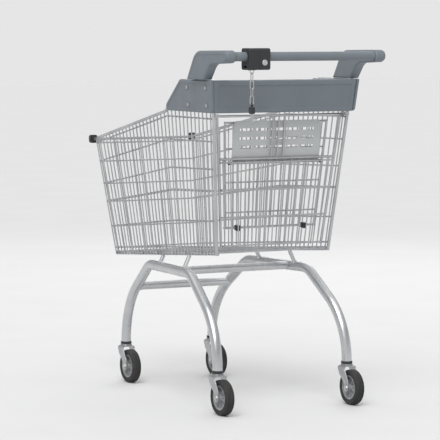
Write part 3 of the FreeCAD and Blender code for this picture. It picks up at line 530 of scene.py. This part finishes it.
# Distances down the gate from its hinge end in _AT.
FLAP_HALF = 0.148
FLAP_TOP_AT = 0.016
FLAP_FOOT_AT = 0.137
FLAP_HINGE_AT = 0.140
FLAP_INNER = 0.005
FLAP_T = 0.004
FLAP_CORNER_R = 0.012
FLAP_EDGE_R = 0.0012
FLAP_BORDER = 0.0045
FLAP_SINK = 0.0007
FLAP_SPINE_R = 0.0045
FLAP_PIN_R = 0.003
FLAP_PIN_HALF = 0.157
FLAP_SPINE = [(-FLAP_PIN_HALF, FLAP_PIN_R - 0.0005), (-FLAP_PIN_HALF + 0.0005, FLAP_PIN_R),
              (-FLAP_HALF, FLAP_PIN_R), (-FLAP_HALF, FLAP_SPINE_R - 0.0006),
              (-FLAP_HALF + 0.0006, FLAP_SPINE_R)]
SLOT_PITCH = 0.052
SLOT_ROW = 0.026
SLOT_HALF = 0.022
SLOT_R = 0.004
SLOT_LIP = 0.0005
SLOT_ROUNDNESS = 0.98  # of a slot's half height; a full 1 would leave no straight end
SLOT_COLUMNS = 5
SLOT_ROWS = 3
ARC_STEPS = 6


def quarters(outline):
    """A rounded outline of four corners, split into the arc of each corner."""
    return [outline[i * (ARC_STEPS + 1):(i + 1) * (ARC_STEPS + 1)] for i in range(4)]


def slot_outline(x, down, grow):
    """A long slot's outline, with its wall moved out by grow."""
    wide, tall = SLOT_HALF + grow, SLOT_R + grow
    corners = [(x - wide, down - tall), (x + wide, down - tall),
               (x + wide, down + tall), (x - wide, down + tall)]
    return rounded(corners, [tall * SLOT_ROUNDNESS] * 4, 0.0, ARC_STEPS)


def flap_field(bm, place, out, border, slots):
    """One sunken face of the flap: its slotted cells, and the margin between them and the border."""
    left = -SLOT_PITCH * SLOT_COLUMNS / 2
    top = FLAP_TOP_AT + SLOT_ROW / 2
    grid = [[bm.verts.new(place(left + SLOT_PITCH * c, top + SLOT_ROW * r, out))
             for c in range(SLOT_COLUMNS + 1)] for r in range(SLOT_ROWS + 1)]
    for (r, c), arcs in slots.items():
        cell = (grid[r][c], grid[r][c + 1], grid[r + 1][c + 1], grid[r + 1][c])
        for i in range(4):
            following = (i + 1) % 4
            for a, b in zip(arcs[i], arcs[i][1:]):
                bm.faces.new((cell[i], a, b))
            bm.faces.new((cell[i], arcs[i][-1], arcs[following][0], cell[following]))
    sides = (grid[0], [row[-1] for row in grid], grid[-1][::-1], [row[0] for row in grid][::-1])
    for i in range(4):
        arc, following = border[i], border[(i + 1) % 4]
        for a, b in zip(arc, arc[1:]):
            bm.faces.new((sides[i][0], a, b))
        bm.faces.new([arc[-1], following[0]] + sides[i][::-1])


def make_flap():
    """Slotted seat flap with a raised border, turning on the pins of its lower edge."""
    bm = bmesh.new()

    def place(x, down, out):
        return on_gate(x, down, FLAP_INNER + out)

    def loop(outline, out):
        return [bm.verts.new(place(p.x, p.y, out)) for p in outline]

    corners = oblong(FLAP_HALF, FLAP_TOP_AT, FLAP_FOOT_AT)
    low, high = FLAP_SINK, FLAP_T - FLAP_SINK
    rings = [(FLAP_BORDER, low), (FLAP_BORDER - FLAP_SINK, 0)]
    rings += soft_rings(0, FLAP_T, FLAP_EDGE_R, FLAP_EDGE_R, 3)
    rings += [(FLAP_BORDER - FLAP_SINK, FLAP_T), (FLAP_BORDER, high)]
    loops = [loop(rounded(corners, [FLAP_CORNER_R] * 4, inset, ARC_STEPS), out) for inset, out in rings]
    skin(bm, loops, capped=False)
    lip = [(SLOT_LIP, low), (SLOT_LIP * 0.3, low + SLOT_LIP * 0.3), (0, low + SLOT_LIP)]
    wall = lip + [(grow, low + high - out) for grow, out in lip[::-1]]
    faces = ({}, {})
    for r in range(SLOT_ROWS):
        for c in range(SLOT_COLUMNS):
            x = (c - (SLOT_COLUMNS - 1) / 2) * SLOT_PITCH
            down = FLAP_TOP_AT + SLOT_ROW * (r + 1)
            slot = [loop(slot_outline(x, down, grow), out) for grow, out in wall]
            skin(bm, slot, capped=False)
            faces[0][(r, c)] = quarters(slot[0])
            faces[1][(r, c)] = quarters(slot[-1])
    flap_field(bm, place, low, quarters(loops[0]), faces[0])
    flap_field(bm, place, high, quarters(loops[-1]), faces[1])
    hinge = on_gate(0, FLAP_HINGE_AT, FLAP_INNER + FLAP_T / 2)
    lathe(bm, hinge, X, FLAP_SPINE + mirrored(FLAP_SPINE), 32)
    finish_mesh("seat_flap_moulding", bm, "seat_flap", "seat_plastic", ["seat_flap_panel"])


# ---------------------------------------------------------------- front bumpers

BUMPER_CORNER_R = 0.007
BUMPER_BACK_R = 0.001
BUMPER_NOSE_R = 0.005


def make_bumpers():
    """Rounded buffers on the basket's two front top corners."""
    low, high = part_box("front_bumpers")
    half = (high.z - low.z) / 2
    rings = soft_rings(low.y, high.y, BUMPER_BACK_R, BUMPER_NOSE_R, 5)
    bm = bmesh.new()
    for hand in HANDS.values():
        centre = Vector((hand * (high.x - half), 0, (low.z + high.z) / 2))
        slab(bm, square(half), [BUMPER_CORNER_R] * 4, rings, lambda x, z, y: centre + Vector((x, y, z)))
    finish_mesh("front_bumper_pads", bm, "frame", "dark_plastic", ["front_bumpers"])


# ---------------------------------------------------------------- casters

TRAIL = 0.030
CROWN_Z = 0.112
HEAD_TOP_Z = 0.1216
FORK_INNER = 0.018
FORK_PLATE = 0.003
LEG_TOP_Z = 0.1075
AXLE_Z = 0.0525
EYE_R = 0.0125
# A fork leg's outline in (ahead of the swivel axis, up).
LEG_OUTLINE = [(0.0165, LEG_TOP_Z), (-0.0185, LEG_TOP_Z), (-TRAIL - EYE_R, 0.070),
               (-TRAIL - EYE_R, AXLE_Z - EYE_R), (-TRAIL + EYE_R, AXLE_Z - EYE_R),
               (-TRAIL + EYE_R, 0.064), (0.010, 0.090)]
LEG_RADII = (0.0005, 0.0005, 0.014, 0.0124, 0.0124, 0.016, 0.014)
LEG_BORDER = 0.0052
LEG_SINK = 0.0008
TYRE_BEAD_R = 0.036
TYRE_SHOULDER_R = 0.0062
SHOULDER_STEPS = 6
HUB_WINDOWS = 5
WINDOW_R = 0.0062
WINDOW_AT = 0.0205
WINDOW_LIP = 0.0009
WINDOW_STEPS = 40
HUB_RIM_HALF = 0.012
HUB_WEB_HALF = 0.003
HUB_WEB_INNER = 0.0085
HUB_BORE_R = 0.0041
RIB_INNER = 0.0088
RIB_HALF = 0.0011
RIB_HEIGHT = 0.0085


def make_tyre(tag):
    """Solid rubber tyre with a flat tread, shallow grooves beside it and round shoulders."""
    node = "caster_%s_tyre" % tag
    low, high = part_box(node)
    r = (high.z - low.z) / 2
    half = (high.x - low.x) / 2
    side = [(0.0002, r), (0.0040, r), (0.0046, r - 0.0008), (0.0054, r - 0.0008), (0.0060, r - 0.0001)]
    for k in range(SHOULDER_STEPS + 1):
        a = math.pi / 2 * k / SHOULDER_STEPS
        side.append((half - TYRE_SHOULDER_R * (1 - math.sin(a)),
                     r - 0.0002 - TYRE_SHOULDER_R * (1 - math.cos(a))))
    side += [(half, r - 0.0096), (half - 0.0007, r - 0.0102), (half - 0.0007, TYRE_BEAD_R + 0.0030),
             (half - 0.0016, TYRE_BEAD_R + 0.0006), (half - 0.0022, TYRE_BEAD_R)]
    bm = bmesh.new()
    lathe(bm, (low + high) / 2, X, mirrored(side) + side, 80, hollow=True)
    finish_mesh("tyre_" + tag, bm, "wheel_" + tag, "tyre", [node])


def spoke(number):
    """The hub's outward and sideways directions at a window, or between two at a half number."""
    turn = 2 * math.pi * number / HUB_WINDOWS + math.pi / 2
    return Y * math.cos(turn) + Z * math.sin(turn), Z * math.cos(turn) - Y * math.sin(turn)


def webbed_disc(bm, centre, half, inner, outer):
    """The disc from the boss to the rim, as one skin round each window out to its sector's edges."""
    sector = math.tan(math.pi / HUB_WINDOWS)
    lip = [(WINDOW_LIP * (1 - math.sin(a)), half - WINDOW_LIP * (1 - math.cos(a)))
           for a in (math.pi / 2 * k / 3 for k in range(4))]
    profile = lip + [(extra, -height) for extra, height in lip[::-1]]
    for window in range(HUB_WINDOWS):
        out, side = spoke(window)
        spot = centre + out * WINDOW_AT
        angles = [2 * math.pi * k / WINDOW_STEPS for k in range(WINDOW_STEPS)]
        rims = []  # from the window's middle to the rim, the boss or the sector's edge
        for a in angles:
            across_it = WINDOW_AT * abs(math.sin(a))
            reach = [math.sqrt(outer ** 2 - across_it ** 2) - WINDOW_AT * math.cos(a)]
            if across_it < inner and math.cos(a) < 0:
                reach.append(-WINDOW_AT * math.cos(a) - math.sqrt(inner ** 2 - across_it ** 2))
            opening = abs(math.sin(a)) - math.cos(a) * sector
            if opening > 0:
                reach.append(WINDOW_AT * sector / opening)
            rims.append(min(reach))
        arms = [out * math.cos(a) + side * math.sin(a) for a in angles]
        rings = [[bm.verts.new(spot + arm * r + X * half) for arm, r in zip(arms, rims)]]
        for extra, height in profile:
            rings.append([bm.verts.new(spot + arm * (WINDOW_R + extra) + X * height) for arm in arms])
        rings.append([bm.verts.new(spot + arm * r - X * half) for arm, r in zip(arms, rims)])
        skin(bm, rings, capped=False)
    bmesh.ops.remove_doubles(bm, verts=bm.verts, dist=0.00002)


def make_hub(tag):
    """Wheel centre: rim with rolled lips, long boss, pierced disc and ribs between its windows."""
    node = "caster_%s_hub" % tag
    low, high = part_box(node)
    centre = (low + high) / 2
    r = (high.z - low.z) / 2
    half = (high.x - low.x) / 2
    bm = bmesh.new()
    webbed_disc(bm, centre, HUB_WEB_HALF, HUB_WEB_INNER, r - 0.004)
    rim = [(HUB_RIM_HALF, r - 0.0001), (HUB_RIM_HALF, r - 0.0022), (HUB_RIM_HALF - 0.0006, r - 0.0030),
           (HUB_RIM_HALF - 0.0022, r - 0.0034), (0.0050, r - 0.0056), (0.0026, r - 0.0066)]
    lathe(bm, centre, X, rim + mirrored(rim), 72, hollow=True)
    boss = [(0.0026, 0.0112), (0.0045, 0.0104), (half - 0.0010, 0.0092), (half - 0.0003, 0.0088),
            (half, 0.0080), (half, HUB_BORE_R)]
    lathe(bm, centre, X, boss + mirrored(boss), 48, hollow=True)
    rib_end = r - 0.0036
    corners = [(RIB_INNER, -RIB_HALF), (rib_end, -RIB_HALF), (rib_end, RIB_HALF), (RIB_INNER, RIB_HALF)]
    rings = soft_rings(-RIB_HEIGHT, RIB_HEIGHT, 0.0006, 0.0006, 3)
    for rib in range(HUB_WINDOWS):
        out, side = spoke(rib + 0.5)
        slab(bm, corners, [LEAST_R] * 4, rings, lambda a, b, x: centre + out * a + side * b + X * x, 2)
    finish_mesh("hub_" + tag, bm, "wheel_" + tag, "hub_plastic", [node])


BRIDGE_LAP = 0.004
BRIDGE_PROUD = 0.0001
BRIDGE_Y = (-0.0190, 0.0170)
BRIDGE_RADII = (0.0065, 0.0065, 0.0004, 0.0004, 0.0035, 0.0035, 0.0004, 0.0004)


def crown_bridge(bm, swivel):
    """The strip bent over the wheel that joins the fork's legs."""
    outer = FORK_INNER + FORK_PLATE + BRIDGE_PROUD
    inner = FORK_INNER - BRIDGE_PROUD
    low, top = LEG_TOP_Z - BRIDGE_LAP, CROWN_Z + FORK_PLATE
    outline = [(outer, top), (-outer, top), (-outer, low), (-inner, low), (-inner, CROWN_Z),
               (inner, CROWN_Z), (inner, low), (outer, low)]
    rings = soft_rings(*BRIDGE_Y, 0.0005, 0.0005, 2)
    slab(bm, outline, BRIDGE_RADII, rings, lambda x, z, y: swivel + Vector((x, y, z)))


def swivel_head(bm, swivel):
    """Ball race between two pressed cups, and the rivet under the crown."""
    top = CROWN_Z + FORK_PLATE
    cups = [(top - 0.0005, 0.003), (top - 0.0005, 0.0185), (top + 0.0012, 0.0188),
            (top + 0.0022, 0.0178), (top + 0.0026, 0.0162), (top + 0.0032, 0.0162),
            (top + 0.0034, 0.0184), (top + 0.0050, 0.0180), (HEAD_TOP_Z - 0.0004, 0.0160),
            (HEAD_TOP_Z, 0.0130), (HEAD_TOP_Z, 0.003)]
    lathe(bm, swivel, Z, cups, 48)
    rivet = [(0, 0.0075), (0.0010, 0.0073), (0.0020, 0.0060), (0.0025, 0.0035), (0.0025, 0.0003)]
    lathe(bm, swivel + Z * (CROWN_Z + 0.0002), -Z, rivet, 24)


def make_fork(tag):
    """Pressed steel fork: legs with sunken fields, the bridge over the wheel, the swivel head."""
    node = "caster_%s_fork" % tag
    wheel = middle("caster_%s_tyre" % tag)
    swivel = Vector((wheel.x, wheel.y + TRAIL, 0))
    bm = bmesh.new()
    crown_bridge(bm, swivel)
    swivel_head(bm, swivel)
    rings = soft_rings(FORK_INNER, FORK_INNER + FORK_PLATE, 0.0005, 0.0007, 3)
    rings = with_recess(rings, LEG_BORDER, LEG_SINK)
    for hand in HANDS.values():
        slab(bm, LEG_OUTLINE, LEG_RADII, rings, lambda a, z, h: swivel + Vector((hand * h, a, z)), 8)
    finish_mesh("fork_" + tag, bm, "caster_" + tag, "fork_steel", [node])


WASHER_PROFILE = [(0, 0.0088), (0.0010, 0.0090), (0.0014, 0.0086), (0.0014, 0.0040)]
WASHER_SUNK = 0.0006
WASHER_T = 0.0012
BOLT_THICK = {"left": 0.0034, "right": 0.0042}  # the bolt's head and its nut
HEXAGON = 6


def make_axle(tag):
    """Axle bolt: shank, washers, a chamfered hexagon head and a nut with the thread showing."""
    node = "caster_%s_axle" % tag
    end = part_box(node)[1].x
    wheel = middle("caster_%s_tyre" % tag)
    outer = FORK_INNER + FORK_PLATE
    bm = bmesh.new()
    lathe(bm, Vector((wheel.x - outer, wheel.y, wheel.z)), X,
          [(0, 0.0036), (2 * outer + 0.0050, 0.0036), (end - wheel.x + outer, 0.0030)], 20)
    for hand_name, hand in HANDS.items():
        thick = BOLT_THICK[hand_name]
        face = Vector((wheel.x + hand * (outer - WASHER_SUNK), wheel.y, wheel.z))
        lathe(bm, face, X * hand, WASHER_PROFILE, 32)
        lathe(bm, face + X * (hand * WASHER_T), X * hand,
              [(0, 0.0072), (thick - 0.0009, 0.0072), (thick, 0.0060), (thick, 0.0033)], HEXAGON)
    finish_mesh("axle_" + tag, bm, "caster_" + tag, "bolt_steel", [node], sharp=25.0)


# ---------------------------------------------------------------- coin lock, chain and key

LOCK_FACE = 0.0012  # the case is set back by this for the barrel on its face
CASE_CORNER_R = 0.0072
CASE_END_R = 0.0026
SEAM_R = 0.0006
SEAM_HALF = 0.0007
SEAM_DEPTH = 0.0010
SLOT_CORNER_R = 0.0008
KEY_SLOT_HALF = 0.008
KEY_SLOT_Z = (1.008, 1.014)
KEY_SLOT_DEPTH = 0.020
TRAY_SLOT_GAP = 0.0004
TRAY_SLOT_DEPTH = 0.026
BARREL_AT = Vector((0.016, 0.0004, -0.010))
BARREL_PROFILE = [(-0.002, 0.0085), (0.0004, 0.0085), (0.0011, 0.0079), (0.0011, 0.0062),
                  (0.0004, 0.0060), (0.0004, 0.0003)]


def make_lock():
    """Coin lock case: two shells with a seam, slots at its ends, and a keyed barrel on its back."""
    low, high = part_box("coin_lock_housing")
    tray_low, tray_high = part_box("coin_tray")
    centre = middle("coin_lock_housing")
    half = (high - low) / 2
    depth = half.y - LOCK_FACE

    def place(y, z, x):
        return Vector((centre.x + x, centre.y + y + LOCK_FACE / 2, centre.z + z))

    def outline(inset, x):
        corners = oblong(depth, -half.z, half.z)
        return [place(p.x, p.y, x) for p in rounded(corners, [CASE_CORNER_R] * 4, inset)]

    def slot(y_half, z_low, z_high, x):
        corners = oblong(y_half, z_low, z_high)
        return [place(p.x - LOCK_FACE / 2, p.y, x) for p in rounded(corners, [SLOT_CORNER_R] * 4)]

    key = (KEY_SLOT_HALF, KEY_SLOT_Z[0] - centre.z, KEY_SLOT_Z[1] - centre.z)
    tray = ((tray_high.y - tray_low.y) / 2 + TRAY_SLOT_GAP, tray_low.z - centre.z - TRAY_SLOT_GAP,
            tray_high.z - centre.z + TRAY_SLOT_GAP)
    rings = [slot(*key, -half.x + KEY_SLOT_DEPTH), slot(*key, -half.x)]
    rings += [outline(inset, x) for inset, x in soft_rings(-half.x, -SEAM_HALF, CASE_END_R, SEAM_R)]
    rings += [outline(SEAM_DEPTH, 0.0)]
    rings += [outline(inset, x) for inset, x in soft_rings(SEAM_HALF, half.x, SEAM_R, CASE_END_R)]
    rings += [slot(*tray, half.x), slot(*tray, half.x - TRAY_SLOT_DEPTH)]
    bm = bmesh.new()
    skin(bm, [[bm.verts.new(p) for p in ring] for ring in rings])
    finish_mesh("coin_lock_case", bm, "frame", "dark_plastic", ["coin_lock_housing"])
    barrel = bmesh.new()
    face = Vector((centre.x, low.y + LOCK_FACE, centre.z)) + BARREL_AT
    lathe(barrel, face, -Y, BARREL_PROFILE, 36)
    finish_mesh("coin_lock_barrel", barrel, "frame", "plain_steel")


KEY_CORNER_R = 0.0042
KEY_EDGE_R = 0.0025
KEY_BORDER = 0.005
KEY_SINK = 0.0008
KEY_EYE_R = 0.0044
KEY_EYE_BAR_R = 0.0016
KEY_EYE_STEPS = 28


def make_key():
    """Plastic grip of the chain's key with its eye."""
    low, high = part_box("chain_key_grip")
    centre = middle("chain_key_grip")
    half_w = (high.y - low.y) / 2
    half_t = (high.x - low.x) / 2
    corners = oblong(half_w, low.z, low.z + 2 * half_w)
    bm = bmesh.new()
    rings = with_recess(soft_rings(-half_t, half_t, KEY_EDGE_R, KEY_EDGE_R), KEY_BORDER, KEY_SINK)
    slab(bm, corners, [KEY_CORNER_R] * 4, rings,
         lambda y, z, x: Vector((centre.x + x, centre.y + y, z)))
    eye = Vector((centre.x, centre.y, high.z - KEY_EYE_R - KEY_EYE_BAR_R))
    turns = [2 * math.pi * k / KEY_EYE_STEPS for k in range(KEY_EYE_STEPS)]
    path = [eye + (Y * math.cos(a) + Z * math.sin(a)) * KEY_EYE_R for a in turns]
    loop_bar(bm, path, [KEY_EYE_BAR_R] * KEY_EYE_STEPS, 12)
    finish_mesh("key_grip_moulding", bm, "chain_key", "dark_plastic", ["chain_key_grip"])


# ---------------------------------------------------------------- welds

TUBE_R = 0.015
CROSSBAR_R = 0.0125
WELD_R = 0.0019
WELD_STEPS = 72
WELD_RIPPLES = 18
WELD_RIPPLE = 0.16


def weld_ring(bm, start, axis, radius, tube_point, tube_axis, tube_r):
    """A rippled bead where a bar, going along its axis, runs into the side of a tube."""
    u, v = across(axis)
    travel = axis - tube_axis * axis.dot(tube_axis)
    points, radii = [], []
    for k in range(WELD_STEPS):
        a = 2 * math.pi * k / WELD_STEPS
        edge = start + (u * math.cos(a) + v * math.sin(a)) * radius
        to_edge = edge - tube_point
        to_edge -= tube_axis * to_edge.dot(tube_axis)
        b = to_edge.dot(travel) / travel.dot(travel)
        c = (to_edge.dot(to_edge) - tube_r ** 2) / travel.dot(travel)
        points.append(edge + axis * (-b - math.sqrt(max(b * b - c, 0))))
        radii.append(WELD_R * (1 + WELD_RIPPLE * math.sin(a * WELD_RIPPLES)))
    loop_bar(bm, points, radii, 10)


ARCH_TOP_Z = 0.392
LEG_SWEEP = math.radians(54.0)
FRONT_CROSSBAR_AHEAD = 0.628
REAR_CROSSBAR_AHEAD = 0.300
POST_AHEADS = (0.262, 0.452)
POST_R = 0.006
POST_GAP = 0.0006
PUDDLE = [(-0.0026, POST_R - 0.0004), (-0.0018, POST_R + 0.0004), (-0.0004, POST_R - 0.0002),
          (0.0012, POST_R - 0.0022), (0.0022, POST_R - 0.0038)]


def on_arch(ahead, z, hand):
    """A point of an arch's middle line, whose half-track narrows towards the front."""
    rear, front = middle("caster_rear_right_tyre"), middle("caster_front_right_tyre")
    x = rear.x + (front.x - rear.x) * ahead / (front.y - rear.y)
    return Vector((hand * x, REAR_Y + ahead, z))


def make_welds():
    """Beads where the crossbars and posts meet the arches, and puddles on the posts' heads."""
    bm = bmesh.new()
    front_z = middle("chassis_front_crossbar").z
    for hand in HANDS.values():
        run = (on_arch(1, 0, hand) - on_arch(0, 0, hand)).normalized()
        top = on_arch(REAR_CROSSBAR_AHEAD, ARCH_TOP_Z, hand)
        weld_ring(bm, Vector((0, top.y, top.z)), X * hand, CROSSBAR_R, top, run, TUBE_R)
        leg = on_arch(FRONT_CROSSBAR_AHEAD, front_z, hand)
        slope = (run * -math.sin(LEG_SWEEP) + Z * math.cos(LEG_SWEEP)).normalized()
        weld_ring(bm, Vector((0, leg.y, leg.z)), X * hand, CROSSBAR_R, leg, slope, TUBE_R)
        for ahead in POST_AHEADS:
            foot = on_arch(ahead, ARCH_TOP_Z, hand)
            head = edge_point(ahead, hand) - Z * (EDGE_R + POST_GAP)
            rise = (head - foot).normalized()
            weld_ring(bm, head, -rise, POST_R, foot, run, TUBE_R)
            lathe(bm, head, rise, PUDDLE, 24)
    finish_mesh("chassis_welds", bm, "frame", "zinc_tube")


# ---------------------------------------------------------------- all the pieces

for hand_name, hand in HANDS.items():
    make_side_plate(hand_name, hand)
    make_bracket(hand_name, hand)
for tag in ("rear_left", "rear_right", "front_left", "front_right"):
    make_tyre(tag)
    make_hub(tag)
    make_fork(tag)
    make_axle(tag)
make_screws()
make_rear_band()
make_grip()
make_end_caps()
make_flap()
make_bumpers()
make_lock()
make_key()
make_welds()


# ---------------------------------------------------------------- floor, light and camera

FLOOR_SIZE = 80.0
# Sky greys by height, from the horizon at 0 to straight up at 1.
SKY = [(0.0, 0.79), (0.14, 0.79), (0.34, 0.42), (0.60, 0.62), (0.80, 1.0)]
SUN_PLACE = (-3.0, -4.0, 7.0)
SUN_ENERGY = 1.5
SUN_ANGLE = math.radians(35.0)
LAMP_POWER = 30.0
LAMP_TARGET = (0, 0, 0.5)
CAMERA_AZIMUTH = -28.5
CAMERA_HEIGHT = 1.12
CAMERA_DISTANCE = 7.5
LENS = 200.0


def add_object(name, data, place=(0, 0, 0)):
    obj = bpy.data.objects.new(name, data)
    obj.location = place
    bpy.context.scene.collection.objects.link(obj)
    return obj


def aim(obj, target):
    obj.rotation_euler = (Vector(target) - obj.location).to_track_quat("-Z", "Y").to_euler()


def make_floor():
    mesh = bpy.data.meshes.new("floor")
    mesh.from_pydata([(x, y, 0) for x, y in square(FLOOR_SIZE / 2)], [], [(0, 1, 2, 3)])
    mat, tree, shader = new_material("floor_paint")
    shade = noise(tree, coordinates(tree), scale=3.0, detail=4.0)
    tree.links.new(ramp(tree, shade, [(0.30, 0.66), (0.70, 0.68)]), shader.inputs["Base Color"])
    shader.inputs["Roughness"].default_value = 0.8
    mesh.materials.append(mat)
    add_object("floor", mesh)


def make_world():
    """Soft studio light: pale around the horizon, a dimmer band above it and a bright ceiling."""
    world = bpy.data.worlds.new("studio")
    world.use_nodes = True
    tree = world.node_tree
    split = tree.nodes.new("ShaderNodeSeparateXYZ")
    tree.links.new(coordinates(tree, "Generated"), split.inputs[0])
    background = tree.nodes["Background"]
    tree.links.new(ramp(tree, split.outputs["Z"], SKY), background.inputs["Color"])
    background.inputs["Strength"].default_value = 1.0
    bpy.context.scene.world = world


def make_sun():
    data = bpy.data.lights.new("sun", "SUN")
    data.energy = SUN_ENERGY
    data.angle = SUN_ANGLE
    aim(add_object("sun", data, SUN_PLACE), (0, 0, 0))


def area_light(name, place, size):
    data = bpy.data.lights.new(name, "AREA")
    data.shape = "RECTANGLE"
    data.size, data.size_y = size
    data.energy = LAMP_POWER
    aim(add_object(name, data, place), LAMP_TARGET)


def make_camera():
    data = bpy.data.cameras.new("camera")
    data.lens = LENS
    azimuth = math.radians(CAMERA_AZIMUTH)
    x, y = math.sin(azimuth) * CAMERA_DISTANCE, -math.cos(azimuth) * CAMERA_DISTANCE
    camera = add_object("camera", data, (x, y, CAMERA_HEIGHT))
    aim(camera, (cad_low + cad_high) / 2)
    bpy.context.scene.camera = camera


make_floor()
make_world()
make_sun()
area_light("key", place=(-3.5, -3.0, 3.5), size=(2.0, 2.5))
area_light("rim", place=(3.0, 3.5, 3.0), size=(3.0, 1.5))
make_camera()
bpy.context.scene.view_settings.view_transform = "Standard"
